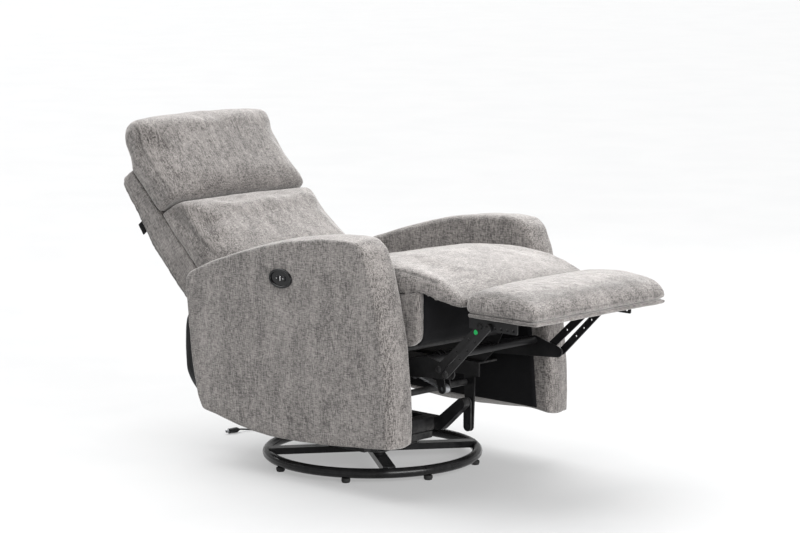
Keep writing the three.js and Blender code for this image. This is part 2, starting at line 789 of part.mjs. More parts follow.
place(
  "chaise_hinge_rod",
  rod(-chaiseHinge.halfLength, chaiseHinge.halfLength, chaiseHinge.y, chaiseHinge.z, chaiseHinge.radius, 10),
  blackSteel,
);
const chaiseOutlineShares = [
  [1, 0.35], [1, 0.84], [0.974, 1], [0.813, 0.963], [0.619, 0.875], [0.394, 0.725], [0.2, 0.575],
  [0.065, 0.425], [0, 0.287], [0.013, 0.087], [0.103, 0], [0.31, 0.037], [0.755, 0.225], [0.93, 0.3],
];
const chaiseSoftness = [0, 0, 0.4, 1, 1, 1, 1, 0.4, 0, 0, 0, 0, 0, 0];
const chaiseOutline = shares(
  chaiseOutlineShares,
  [chaise.frontY, chaise.bottom],
  [chaise.rearY - chaise.frontY, chaise.height],
);
place("chaise_pad", cushion(chaiseOutline, chaiseSoftness, chaise), lightFabric);

const ottomanOutlineShares = [
  [0.975, 0], [1, 0.19], [1, 0.5], [0.96, 0.68], [0.87, 0.85], [0.7, 0.95], [0.49, 1], [0.27, 0.966],
  [0.12, 0.83], [0.035, 0.59], [0, 0.3], [0.012, 0.06], [0.06, 0], [0.49, 0],
];
const ottomanSoftness = [0, 0, 0, 0.4, 1, 1, 1, 1, 1, 0.9, 0.7, 0.3, 0, 0];
const ottomanOutline = shares(
  ottomanOutlineShares,
  [ottoman.frontY, ottoman.bottom],
  [ottoman.rearY - ottoman.frontY, ottoman.height],
);
place("ottoman_cushion", cushion(ottomanOutline, ottomanSoftness, ottoman), lightFabric);

const boardTop = ottoman.bottom - touchGap;
const boardBottom = boardTop - ottomanBoard.thickness;
const boardFrontY = ottoman.frontY + ottomanBoard.frontInset + ottomanBoard.cornerRadius;
const boardRearY = ottoman.rearY - ottomanBoard.rearInset - ottomanBoard.cornerRadius;
const boardEdge = ottomanBoard.cornerRadius;
place(
  "ottoman_board",
  acrossPlate(
    roundHull(
      [boardFrontY, boardRearY].flatMap((y) => [
        [y, boardBottom + boardEdge, boardEdge],
        [y, boardTop - boardEdge, boardEdge],
      ]),
      8,
    ),
    ottoman.halfWidth - touchGap,
  ),
  fabric,
);

// Ottoman brackets under the board, with link pins and spare holes

const bracketTop = boardBottom - touchGap;
const bracketEdge = bracket.cornerRadius;
const bracketOuterX = bracket.innerX + bracket.thickness;
const linkBOuterX = footLinkB.innerX + footLinkB.thickness;
const spareHoles = Array.from({ length: bracketPin.holes }, (_, i) => [
  bracketPin.frontY - (i + 1) * bracketPin.holePitch,
  bracketPin.z,
  bracketPin.holeRadius,
]);
const bracketFrontY = bracketPin.frontY - bracketPin.holes * bracketPin.holePitch - bracket.endMargin;
placePair(
  "ottoman_bracket",
  join(
    plate(
      roundHull(
        [bracketFrontY + bracketEdge, bracket.rearY - bracketEdge].flatMap((y) => [
          [y, bracketTop - bracketEdge, bracketEdge],
          [y, bracketTop - bracket.height + bracketEdge, bracketEdge],
        ]),
        8,
      ),
      bracket.innerX,
      bracket.thickness,
      spareHoles,
    ),
    rod(
      bracketOuterX - weldOverlap,
      linkBOuterX + pivotClearance + weldOverlap,
      bracketPin.frontY,
      bracketPin.z,
      pin.studRadius,
    ),
    rod(
      linkBOuterX + pivotClearance,
      linkBOuterX + pivotClearance + 2 * weldOverlap,
      bracketPin.frontY,
      bracketPin.z,
      pin.headRadius,
    ),
    rod(
      footLinkA.innerX - pivotClearance - weldOverlap,
      bracket.innerX + weldOverlap,
      bracketPin.rearY,
      bracketPin.z,
      pin.studRadius,
    ),
    rod(
      footLinkA.innerX - pivotClearance - weldOverlap,
      footLinkA.innerX - pivotClearance,
      bracketPin.rearY,
      bracketPin.z,
      pin.headRadius,
    ),
  ),
  blackSteel,
);

// Drive frame: torque tube, lower link plates, stay tube and crank, welded together

const lowerLinkOuterX = drive.plateX + drive.thickness;
const lowerLink = plate(
  roundHull([
    [drive.y, drive.z, drive.eyeRadius],
    [stayTube.y, stayTube.z, stayTube.eyeRadius],
    [elbow.rearY, elbow.rearZ, elbow.radius],
    [elbow.frontY, elbow.frontZ, elbow.radius],
  ]),
  drive.plateX,
  drive.thickness,
);
const crankPlate = plate(
  roundHull([
    [drive.y, drive.z, drive.eyeRadius],
    [drive.y + crank.dropY, drive.z + crank.dropZ, crank.eyeRadius],
  ]),
  earInner,
  crank.thickness,
  [[drive.y + crank.dropY, drive.z + crank.dropZ, actuatorEye.pinRadius + pivotClearance]],
);
const weldX = drive.plateX + weldOverlap;
place(
  "footrest_drive_frame",
  join(
    rod(-weldX, weldX, drive.y, drive.z, drive.tubeRadius),
    rod(-weldX, weldX, stayTube.y, stayTube.z, stayTube.radius),
    lowerLink,
    mirrored(lowerLink),
    crankPlate,
    mirrored(crankPlate),
  ),
  blackSteel,
);

// Each link turns on its bracket's pin, and its lower stud stands beside the drive frame's elbow.
const pinHole = pin.studRadius + pivotClearance;
const linkHoles = (link, [startY, startZ], [endY, endZ]) =>
  link.holeShares.map((share) => [lerp(startY, endY, share), lerp(startZ, endZ, share), linkHoleRadius]);
placePair(
  "footrest_link_rear",
  join(
    plate(
      roundHull([
        [elbow.rearY, elbow.rearZ, footLinkA.radius],
        [bracketPin.rearY, bracketPin.z, footLinkA.radius],
      ]),
      footLinkA.innerX,
      footLinkA.thickness,
      [
        [bracketPin.rearY, bracketPin.z, pinHole],
        ...linkHoles(footLinkA, [elbow.rearY, elbow.rearZ], [bracketPin.rearY, bracketPin.z]),
      ],
    ),
    rod(
      lowerLinkOuterX + softGap,
      footLinkA.innerX + weldOverlap,
      elbow.rearY,
      elbow.rearZ,
      pin.studRadius,
    ),
  ),
  blackSteel,
);
placePair(
  "footrest_link_front",
  join(
    plate(
      roundHull([
        [elbow.frontY, elbow.frontZ, footLinkB.radius],
        [bracketPin.frontY, bracketPin.z, footLinkB.radius],
      ]),
      footLinkB.innerX,
      footLinkB.thickness,
      [
        [bracketPin.frontY, bracketPin.z, pinHole],
        ...linkHoles(footLinkB, [elbow.frontY, elbow.frontZ], [bracketPin.frontY, bracketPin.z]),
      ],
    ),
    rod(
      lowerLinkOuterX + softGap,
      footLinkB.innerX + weldOverlap,
      elbow.frontY,
      elbow.frontZ,
      pin.studRadius,
    ),
  ),
  blackSteel,
);

// Linear actuator, built along +Z and laid on the line from its rear eye to the crank pin

const crankPin = new THREE.Vector3(0, drive.y + crank.dropY, drive.z + crank.dropZ);
const actuatorRear = new THREE.Vector3(0, rearTubeY, actuator.rearZ);
const actuatorLine = new THREE.Group();
actuatorLine.position.copy(actuatorRear);
actuatorLine.quaternion.setFromUnitVectors(
  new THREE.Vector3(0, 0, 1),
  crankPin.clone().sub(actuatorRear).normalize(),
);
chair.add(actuatorLine);
const rodReach = crankPin.distanceTo(actuatorRear);
const eyeEnd = (z, holeRadius) =>
  cut(
    rod(-actuatorEye.width / 2, actuatorEye.width / 2, 0, z, actuatorEye.radius),
    rod(-actuatorEye.width, actuatorEye.width, 0, z, holeRadius),
  );
const tubeStart = actuatorEye.radius + softGap;
const neckHalf = actuatorEye.width / 2;
const neck = (fromZ, toZ) => block([-neckHalf, -neckHalf, fromZ], [neckHalf, neckHalf, toZ]);
const tubeEnd = rodReach - actuator.rodShown;
const rodBore = actuator.rodRadius + pivotClearance;
const tubeBody = new THREE.LatheGeometry(
  [
    [0, tubeStart],
    [actuator.tubeRadius, tubeStart],
    [actuator.tubeRadius, tubeEnd],
    [rodBore, tubeEnd],
    [rodBore, actuator.closedEnd],
    [0, actuator.closedEnd],
  ].map(([r, z]) => new THREE.Vector2(r, z)),
  20,
).rotateX(Math.PI / 2);
const motorCan = disc(actuatorMotor.radius, 0, actuatorMotor.length, 20).translate(
  0,
  actuatorMotor.offset,
  tubeStart + actuatorEye.radius,
);
const gearHousing = block(
  [-actuatorEye.radius, 0, tubeStart],
  [actuatorEye.radius, actuatorMotor.offset, tubeStart + 2 * actuatorEye.radius],
);
place(
  "actuator_housing",
  join(
    eyeEnd(0, actuatorEye.pinRadius),
    neck(actuatorEye.radius - weldOverlap, tubeStart + weldOverlap),
    tubeBody,
    gearHousing,
    motorCan,
  ),
  blackPlastic,
  actuatorLine,
);
const rodStart = tubeEnd - actuator.rodRadius * actuatorEye.rodShare;
const rodEnd = rodReach - actuatorEye.radius * actuatorEye.neckShare;
place(
  "actuator_rod",
  join(
    disc(actuator.rodRadius, rodStart, rodEnd, 16),
    eyeEnd(rodReach, actuatorEye.pinRadius),
  ),
  zincSteel,
  actuatorLine,
);

// Back, in its leaning frame: origin on the pivot, +Z up the back, -Y its front

const back = new THREE.Group();
back.position.set(0, backPivot.y, backPivot.z);
back.rotation.x = -degrees(backPivot.lean);
chair.add(back);

const shellOutlineShares = [
  [0, 0], [0.806, 0.105], [0.821, 0.147], [0.909, 0.336], [1, 0.568], [0.976, 0.779], [0.973, 0.97],
  [0.88, 1], [0.603, shellTopShare], [0.418, 0.635], [0.159, 0.103],
];
const shellOutline = shares(
  shellOutlineShares,
  [shell.frontY, shell.bottomZ],
  [shell.depth, shell.length],
);
const shellSoftness = [0, 0.6, 1, 1, 1, 1, 1, 1, 0, 0, 0];
place("back_shell", cushion(shellOutline, shellSoftness, { ...shell, crown: 0 }), fabric, back);

// The front face of the shell, where the cushions lie on it.
const shellFrontPoints = [...shellOutline.slice(8), shellOutline[0]];
const shellKnee = shellFrontPoints[2][1];
function shellFrontAt(z) {
  const above = shellFrontPoints.findLast((point) => point[1] > z);
  const below = shellFrontPoints.find((point) => point[1] <= z);
  return lerp(below[0], above[0], (z - below[1]) / (above[1] - below[1]));
}
const onShell = (z) => [shellFrontAt(z) - softGap, z];

const lumbarFrontShares = [
  [0.654, 0.995], [0.574, 0.974], [0.51, 0.911], [0.456, 0.805], [0.398, 0.682], [0.303, 0.527],
  [0.199, 0.368], [0.067, 0.161], [0, 0.034], [0.129, 0], [0.334, 0.011], [0.565, 0.09],
];
const lumbarRearShares = [0.4, 0.6, 0.8, 0.96];
const lumbarOutline = [
  ...shares(lumbarFrontShares, [lumbar.frontY, lumbar.bottomZ], [lumbar.depth, lumbar.height]),
  onShell(shellKnee),
  ...lumbarRearShares.map((share) => onShell(lumbar.bottomZ + share * lumbar.height)),
];
const lumbarSoftness = [0, 0.3, 0.8, 1, 1, 1, 1, 0.8, 0, 0, 0, 0, 0, 0, 0, 0, 0];
place("lumbar_cushion", cushion(lumbarOutline, lumbarSoftness, lumbar), lightFabric, back);

const headFrontShares = [
  [0.069, 0.014], [0.56, 0.004],
];
const headTopShares = [
  [0.92, 0.69], [0.907, 0.828], [0.76, 0.942], [0.583, 0.988], [0.346, 1], [0.147, 0.979], [0.046, 0.926],
  [0.032, 0.845], [0.064, 0.734], [0.061, 0.583], [0.033, 0.399], [0, 0.218], [0.028, 0.097],
];
const headRearShares = [0.12, 0.35, 0.6];
const headSize = [head.depth, head.height];
const headOutline = [
  ...shares(headFrontShares, [head.frontY, head.bottomZ], headSize),
  ...headRearShares.map((share) => onShell(head.bottomZ + share * head.height)),
  ...shares(headTopShares, [head.frontY, head.bottomZ], headSize),
];
const headSoftness = [0.1, 0, 0, 0, 0, 0.3, 0.8, 1, 1, 1, 1, 1, 1, 1, 1, 1, 1, 0.6];
place("head_cushion", cushion(headOutline, headSoftness, head), lightFabric, back);

// Steel arms that carry the shell on the pivot studs: a knee, then a bar along the shell's lower face
const [shellLow, shellHigh] = [shellOutline[0], shellOutline[1]];
const lowerFace = new THREE.Vector2(shellHigh[0] - shellLow[0], shellHigh[1] - shellLow[1]);
const underShell = (share) => {
  const normal = new THREE.Vector2(lowerFace.y, -lowerFace.x).normalize();
  const offset = backArm.radius + softGap;
  return [
    shellLow[0] + share * lowerFace.x + normal.x * offset,
    shellLow[1] + share * lowerFace.y + normal.y * offset,
    backArm.radius,
  ];
};
const backArmPart = (circles) => plate(roundHull(circles), backArm.innerX, backArm.thickness);
const knee = [backArm.kneeY, backArm.kneeZ, backArm.radius];
placePair(
  "back_bracket",
  cut(
    join(
      backArmPart([[0, 0, backArm.eyeRadius], knee]),
      backArmPart([knee, underShell(backArmShares.start)]),
      backArmPart([underShell(backArmShares.start), underShell(backArmShares.end)]),
    ),
    rod(
      backArm.innerX - cutOverrun,
      backArm.innerX + backArm.thickness + cutOverrun,
      0,
      0,
      backPivot.studRadius + pivotClearance,
    ),
  ),
  blackSteel,
  back,
);

const tagFront = shell.frontY + shell.depth * tag.seamShare + touchGap;
place(
  "edge_tag",
  block(
    [tag.thickness - tag.x, tagFront, tag.z],
    [2 * tag.thickness - tag.x, tagFront + tag.width, tag.z + tag.length],
  ),
  blackCloth,
  back,
);

// Rear flap: hangs behind the seat from the back's lower edge to the rear rail

const flapEnd = rearRail.frontY + rearRail.depth + touchGap;
back.updateMatrix();
const underShellLine = (share) => {
  const normal = new THREE.Vector2(lowerFace.y, -lowerFace.x).normalize();
  const point = new THREE.Vector3(
    0,
    shellLow[0] + share * lowerFace.x + normal.x * softGap,
    shellLow[1] + share * lowerFace.y + normal.y * softGap,
  ).applyMatrix4(back.matrix);
  return [point.y, point.z];
};
const flapLip = [underShellLine(flap.lipShare), underShellLine(1)];
const flapFallShares = [
  [0.919, 0.975], [0.964, 0.915], [0.991, 0.8], [1, 0.56], [0.982, 0.3], [0.896, 0.178], [0.778, 0.079],
  [0.647, 0.028], [0.488, 0], [0.171, 0.012], [0.08, 0.052],
];
const flapLine = [
  ...flapLip,
  ...shares(flapFallShares, [flapEnd, flap.bottom], [flap.reach, flapLip[1][1] - flap.bottom]),
  [flapEnd, rearRail.bottom],
  [flapEnd, rearRail.top - touchGap],
];
const flapInside = flapLine.map(([y, z], i) => {
  const before = flapLine[Math.max(0, i - 1)];
  const after = flapLine[Math.min(flapLine.length - 1, i + 1)];
  const [dy, dz] = [after[0] - before[0], after[1] - before[1]];
  const length = Math.hypot(dy, dz);
  return [y + (dz / length) * flap.thickness, z - (dy / length) * flap.thickness];
});
place("rear_flap", acrossPlate([...flapLine, ...flapInside.toReversed()], flap.halfWidth), darkCloth);

// Lead, its gland under the rear rail, and its plug on the floor

const leadY = rearRail.frontY + rearRail.depth / 2 + swivelY;
const glandBottom = rearRail.bottom - touchGap - gland.length;
place(
  "lead_gland",
  lathe([
    [0, glandBottom],
    [gland.neckRadius, glandBottom],
    [gland.radius, glandBottom + gland.length / 2],
    [gland.radius, glandBottom + gland.length],
    [0, glandBottom + gland.length],
  ], 16).translate(gland.leadX, leadY, 0),
  blackPlastic,
  root,
);

const leadRoute = [
  [gland.leadX, leadY, glandBottom - touchGap],
  ...leadFall.map(([x, behind, z]) => [x, leadY + behind, z]),
].map((point) => new THREE.Vector3(...point));
const leadSection = new THREE.Shape(
  Array.from({ length: lead.sides }, (_, i) => {
    const angle = (2 * Math.PI * i) / lead.sides;
    return new THREE.Vector2(lead.radius * Math.cos(angle), lead.radius * Math.sin(angle));
  }),
);
place(
  "power_lead",
  new THREE.ExtrudeGeometry(leadSection, {
    steps: lead.steps,
    extrudePath: new THREE.CatmullRomCurve3(leadRoute),
    bevelEnabled: false,
  }),
  rubber,
  root,
);

const plugSize = plug.tailLength + plug.length;
const plugBody = new THREE.LatheGeometry(
  [
    [0, 0],
    [plug.tipRadius, 0],
    [plug.radius, plug.tailLength],
    [plug.radius, plugSize],
    [plug.tipRadius, plugSize],
    [plug.tipRadius, plugSize + plug.tipLength],
    [0, plugSize + plug.tipLength],
  ].map(([r, z]) => new THREE.Vector2(r, z)),
  16,
);
const plugLine = new THREE.Vector3(-1, plug.turnShare, 0).normalize();
const plugGroup = new THREE.Group();
plugGroup.position.copy(leadRoute.at(-1)).addScaledVector(plugLine, touchGap);
plugGroup.quaternion.setFromUnitVectors(new THREE.Vector3(0, 1, 0), plugLine);
root.add(plugGroup);
place("plug", plugBody, blackPlastic, plugGroup);

export default root;
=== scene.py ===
import json
from math import cos, pi, radians, sin, sqrt

import bmesh
import bpy
import numpy as np
from mathutils import Matrix, Vector


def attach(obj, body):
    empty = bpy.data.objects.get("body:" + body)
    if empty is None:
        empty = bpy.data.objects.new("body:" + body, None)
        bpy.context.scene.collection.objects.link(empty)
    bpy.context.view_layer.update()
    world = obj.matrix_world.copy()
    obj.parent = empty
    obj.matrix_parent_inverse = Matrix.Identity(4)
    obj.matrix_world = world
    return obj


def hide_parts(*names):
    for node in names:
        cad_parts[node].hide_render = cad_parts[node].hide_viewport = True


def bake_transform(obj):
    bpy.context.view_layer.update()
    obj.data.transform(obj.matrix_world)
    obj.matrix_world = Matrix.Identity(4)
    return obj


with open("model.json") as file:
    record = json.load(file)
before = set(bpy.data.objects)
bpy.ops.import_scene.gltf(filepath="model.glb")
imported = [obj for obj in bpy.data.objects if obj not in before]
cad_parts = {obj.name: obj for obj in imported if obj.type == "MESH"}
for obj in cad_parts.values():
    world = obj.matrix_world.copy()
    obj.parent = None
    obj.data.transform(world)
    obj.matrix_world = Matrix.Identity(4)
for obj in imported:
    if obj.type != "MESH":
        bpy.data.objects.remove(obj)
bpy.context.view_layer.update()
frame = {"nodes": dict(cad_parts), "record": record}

# The chair is drawn in millimetres, the frame in metres, with the swivel axis behind the footprint's middle.
MM = 0.001
SWIVEL_Y = 34.0
WELD = 0.00002
NODES = frame["nodes"]
SIDES = (("left", 1), ("right", -1))
scene = bpy.context.scene


def at(x, y, z):
    return Vector((x * MM, (y + SWIVEL_Y) * MM, z * MM))


# The back's leaning frame: origin on its pivot, z up the back, y to its rear.
LEAN = radians(38.3)
BACK_PIVOT = at(0, 190, 500)
BACK_TURN = Matrix.Rotation(-LEAN, 4, "X")


def on_back(x, y, z):
    return BACK_PIVOT + (BACK_TURN @ Vector((x * MM, y * MM, z * MM)))


def coordinates_of(mesh, kind="co"):
    values = np.empty(len(mesh.vertices) * 3)
    mesh.vertices.foreach_get(kind, values)
    return values.reshape(-1, 3)


def back_columns(piece):
    """The x, y and z of the piece's points in the back's frame, in millimetres."""
    local = (coordinates_of(piece.data) - np.array(BACK_PIVOT)) @ np.array(BACK_TURN)[:3, :3]
    return (local / MM).T


def chair_columns(piece):
    """The x, y and z of the piece's points in the chair's drawing, in millimetres."""
    return (coordinates_of(piece.data) / MM - np.array((0, SWIVEL_Y, 0))).T


def placed(name, data):
    """A new object in the scene."""
    made = bpy.data.objects.new(name, data)
    scene.collection.objects.link(made)
    return made


def aimed(thing, direction):
    thing.rotation_euler = Vector(direction).to_track_quat("-Z", "Y").to_euler()


# Camera

camera_data = bpy.data.cameras.new("camera")
camera_data.sensor_width = 36
camera_data.lens = 116.494
camera_data.clip_end = 200
camera = placed("camera", camera_data)
camera.location = (-5.02165, -4.84781, 1.59252)
aimed(camera, Vector((0.0523, -0.0210, 0.5384)) - camera.location)
scene.camera = camera


# Materials

class Shader:
    """A builder of node materials with a Principled shader."""

    def __init__(self, name, **sockets):
        self.material = bpy.data.materials.new(name)
        self.material.use_nodes = True
        self.nodes, self.links = self.material.node_tree.nodes, self.material.node_tree.links
        self.nodes.clear()
        output, self.bsdf = self.add("OutputMaterial"), self.add("BsdfPrincipled")
        self.links.new(self.bsdf.outputs["BSDF"], output.inputs["Surface"])
        for socket, value in sockets.items():
            self.feed(self.bsdf.inputs[socket.replace("_", " ").title().replace("Ior", "IOR")], value)

    def feed(self, socket, value):
        """Links the value to the socket, or sets it there. A colour may come without its alpha."""
        if isinstance(value, bpy.types.NodeSocket):
            self.links.new(value, socket)
        elif socket.type == "RGBA":
            socket.default_value = (*value, 1.0)
        else:
            socket.default_value = value

    def add(self, kind, settings=(), **inputs):
        node = self.nodes.new("ShaderNode" + kind)
        for key, value in dict(settings).items():
            setattr(node, key, value)
        for key, value in inputs.items():
            self.feed(node.inputs[key.replace("_", " ")], value)
        return node

    def coordinates(self, scale, turn=(0, 0, 0)):
        """The piece's own coordinates, turned, then scaled by one number or one for each axis."""
        scale = scale if isinstance(scale, tuple) else (scale,) * 3
        source = self.add("TexCoord").outputs["Object"]
        turned_to = self.add("Mapping", Vector=source, Rotation=turn).outputs["Vector"]
        return self.add("Mapping", Vector=turned_to, Scale=scale).outputs["Vector"]

    def noise(self, scale, detail=2.0, roughness=0.5, distortion=0.0, turn=(0, 0, 0)):
        return self.add("TexNoise", Vector=self.coordinates(scale, turn), Scale=1.0, Detail=detail,
                        Roughness=roughness, Distortion=distortion).outputs["Fac"]

    def math(self, operation, a, b=0.0, c=0.0):
        node = self.add("Math", {"operation": operation})
        for socket, value in zip(node.inputs, (a, b, c)):
            self.feed(socket, value)
        return node.outputs[0]

    def weighed(self, *pairs):
        """The sum of the values, each times its weight."""
        total = 0.0
        for value, weight in pairs:
            total = self.math("MULTIPLY_ADD", value, weight, total)
        return total

    def spread(self, value, low=0.0, high=1.0):
        """The value scaled so that 0.3 to 0.7 covers low to high."""
        node = self.add("MapRange", Value=value, From_Min=0.3, From_Max=0.7, To_Min=low, To_Max=high)
        return node.outputs["Result"]

    def ramp(self, value, *stops):
        node = self.add("ValToRGB", Fac=value)
        ramp = node.color_ramp
        while len(ramp.elements) < len(stops):
            ramp.elements.new(0.5)
        for element, (position, colour) in zip(ramp.elements, stops):
            element.position = position
            element.color = (*colour, 1.0)
        return node.outputs["Color"]

    def mix(self, share, a, b):
        node = self.add("Mix", {"data_type": "RGBA"})
        for index, value in ((0, share), (6, a), (7, b)):
            self.feed(node.inputs[index], value)
        return node.outputs[2]

    def bump(self, height, strength, distance, *normal):
        node = self.add("Bump", Height=height, Strength=strength, Distance=distance)
        for value in normal:
            self.feed(node.inputs["Normal"], value)
        return node.outputs["Normal"]

    def attribute(self, name):
        return self.add("Attribute", {"attribute_name": name}).outputs["Fac"]

    def surface(self, colour, roughness, normal):
        for socket, value in (("Base Color", colour), ("Roughness", roughness), ("Normal", normal)):
            self.feed(self.bsdf.inputs[socket], value)
        return self.material


def times(colour, factor, more=0.0):
    return tuple(min(1.0, factor * c + more) for c in colour)


# The yarns' scales along x, y and z for each way that they run, and its share
FINE, SLUB = 430, 66
YARNS = (((FINE, FINE, SLUB), 0.42), ((FINE, SLUB, FINE), 0.36), ((SLUB, FINE, FINE), 0.22))


def chenille(name, dark, light, lean=0.0):
    """Woven chenille: slubby yarns and brushed nap, with painted shade along seams and a painted highlight along
    edges, from the mesh's attributes.
    """
    s = Shader(name, sheen_weight=0.45, sheen_roughness=0.55, sheen_tint=(0.92, 0.90, 0.88),
               specular_ior_level=0.15)
    turn = (lean, 0, 0)
    yarns = s.weighed(*[(s.noise(scale, 2.0, 0.6, 0.2, turn), share) for scale, share in YARNS])
    bands = s.noise((40, 40, 6), 2.0, 0.5, 0.3, turn)
    nap = s.noise((11, 11, 7), 3.0, 0.62, 0.6, turn)
    cloud = s.noise((38, 38, 26), 2.0, 0.6, 0.4, turn)
    speck = s.noise(900, 1.0)
    shade = 0.5
    for value, contrast in ((yarns, 5.6), (nap, 0.7), (bands, 0.6), (cloud, 0.55), (speck, 0.3)):
        shade = s.math("MULTIPLY_ADD", s.math("SUBTRACT", value, 0.5), contrast, shade)
    middle = tuple((a + b) / 2 for a, b in zip(dark, light))
    colour = s.ramp(shade, (0.0, dark), (0.5, middle), (1.0, light))
    # Painted shade: the cloth is darkened along the seams
    colour = s.mix(s.math("MULTIPLY", s.attribute("seam_shade"), 0.62), colour, times(dark, 0.22))
    # Painted highlight: the cloth is lightened along the edges
    colour = s.mix(s.math("MULTIPLY", s.attribute("edge"), 0.28), colour, times(light, 1.25))
    threads = [s.add("TexWave", {"bands_direction": axis}, Vector=s.coordinates(1, turn), Scale=95.0,
                     Distortion=1.6, Detail=1.0, Detail_Scale=2.0)
               for axis in "YZ"]
    relief = s.bump(s.math("MULTIPLY", *(node.outputs["Fac"] for node in threads)), 0.35, 0.0006)
    relief = s.bump(yarns, 0.75, 0.0022, relief)
    relief = s.bump(nap, 0.25, 0.004, relief)
    return s.surface(colour, s.spread(nap, 0.86, 0.97), relief)


def plain_cloth(name, dark, light, sheen):
    """Thin plain-woven or non-woven cloth."""
    s = Shader(name, sheen_weight=sheen, sheen_roughness=0.6, specular_ior_level=0.06)
    grain = s.noise(700, 2.0, 0.6)
    patches = s.noise(14, 3.0, 0.6, 0.5)
    threads = s.noise((520, 30, 520))
    colour = s.ramp(s.weighed((grain, 0.4), (patches, 0.35), (threads, 0.25)), (0.3, dark), (0.7, light))
    # Painted shade: the cloth is darkened along the seams
    colour = s.mix(s.math("MULTIPLY", s.attribute("seam_shade"), 0.6), colour, times(dark, 0.3))
    relief = s.bump(grain, 0.4, 0.0008, s.bump(threads, 0.3, 0.001))
    return s.surface(colour, s.spread(patches, 0.78, 0.95), relief)


def painted_steel(name, colour, gloss, wear):
    """Powder-coated or gloss painted steel, with fine orange peel, dust and a little edge wear."""
    s = Shader(name, specular_ior_level=0.2, coat_roughness=0.08)
    peel = s.noise(420)
    smear = s.noise(18, 4.0, 0.65, 0.4)
    dust = s.spread(s.noise(70, 5.0, 0.7))
    edge = s.ramp(s.add("NewGeometry").outputs["Pointiness"], (0.52, (0, 0, 0)), (0.60, (1, 1, 1)))
    paint = s.mix(s.spread(smear), colour, times(colour, 2.1, 0.006))
    paint = s.mix(s.math("MULTIPLY", dust, 0.07), paint, (0.055, 0.053, 0.050))
    paint = s.mix(s.math("MULTIPLY", s.math("MULTIPLY", edge, dust), wear), paint, (0.22, 0.215, 0.21))
    return s.surface(paint, s.spread(smear, gloss * 0.85, gloss * 1.25 + 0.03), s.bump(peel, 0.12, 0.0004))


def plated_steel(name, colour, roughness):
    """Zinc plating: fine grain, cloudy passivation."""
    s = Shader(name, metallic=0.9, specular_ior_level=0.5)
    grain = s.noise((900, 900, 120))
    cloud = s.noise(60, 3.0, 0.6, 0.5)
    return s.surface(s.mix(s.spread(cloud), colour, times(colour, 0.6)),
                     s.spread(cloud, roughness * 0.8, roughness * 1.3), s.bump(grain, 0.15, 0.0003))


def moulded(name, colour, roughness, grain_size=900.0, relief=0.25, coat=0.0):
    """Moulded plastic or rubber with a fine texture and slight handling marks."""
    s = Shader(name, specular_ior_level=0.28, coat_weight=coat, coat_roughness=0.05)
    grain = s.noise(grain_size, 2.0, 0.6)
    marks = s.noise(45, 4.0, 0.65, 0.6)
    return s.surface(s.mix(s.spread(marks), colour, times(colour, 1.8, 0.002)),
                     s.spread(marks, roughness * 0.85, roughness * 1.2), s.bump(grain, relief, 0.0004))


def sawn_timber(name):
    s = Shader(name, specular_ior_level=0.3)
    grain = s.noise((7, 160, 160), 4.0, 0.6, 0.8)
    pores = s.noise((40, 900, 900))
    colour = s.ramp(grain, (0.3, (0.20, 0.125, 0.065)), (0.5, (0.34, 0.235, 0.135)), (0.7, (0.46, 0.34, 0.21)))
    return s.surface(colour, s.spread(grain, 0.7, 0.9), s.bump(pores, 0.4, 0.0008, s.bump(grain, 0.3, 0.001)))


DARK, LIGHT = (0.034, 0.030, 0.0285), (0.246, 0.228, 0.217)
UPHOLSTERY = chenille("upholstery", DARK, LIGHT)
BACK_UPHOLSTERY = chenille("upholstery_back", DARK, LIGHT, lean=LEAN)
# Bright plated trim for the control's bar; on the button dots it is a painted highlight
SILVER = plated_steel("bright_trim_and_glint", (0.78, 0.78, 0.79), 0.3)
GREEN = moulded("green_paint_dot", (0.01, 0.42, 0.10), 0.45, 600.0, 0.2)
SLOT_MATERIALS = {slot: make(slot, *settings) for slot, make, *settings in (
    ("black_lining", plain_cloth, (0.0025, 0.0025, 0.003), (0.009, 0.009, 0.010), 0.03),
    ("charcoal_cloth", plain_cloth, (0.036, 0.037, 0.040), (0.098, 0.100, 0.105), 0.3),
    ("black_steel", painted_steel, (0.004, 0.004, 0.0045), 0.34, 0.25),
    ("gloss_black_steel", painted_steel, (0.002, 0.002, 0.0024), 0.19, 0.08),
    ("zinc_steel", plated_steel, (0.50, 0.51, 0.53), 0.36),
    ("black_plastic", moulded, (0.012, 0.012, 0.013), 0.48),
    ("gloss_black_plastic", moulded, (0.002, 0.002, 0.0025), 0.07, 900.0, 0.03, 0.1),
    ("rubber", moulded, (0.012, 0.012, 0.012), 0.8, 500.0, 0.5),
    ("lead_rubber", moulded, (0.012, 0.012, 0.012), 0.55, 700.0, 0.2),
    ("timber", sawn_timber),
)}
SLOT_MATERIALS["upholstery"] = SLOT_MATERIALS["cushion_fabric"] = UPHOLSTERY
# The width of the small edge roundings, in millimetres
BEVELLED = {"black_steel": 0.9, "gloss_black_steel": 1.2, "zinc_steel": 0.8, "black_plastic": 0.8,
            "gloss_black_plastic": 1.1, "rubber": 1.2, "timber": 1.6}
SHARP_ANGLE, BEVEL_ANGLE = radians(34), radians(38)


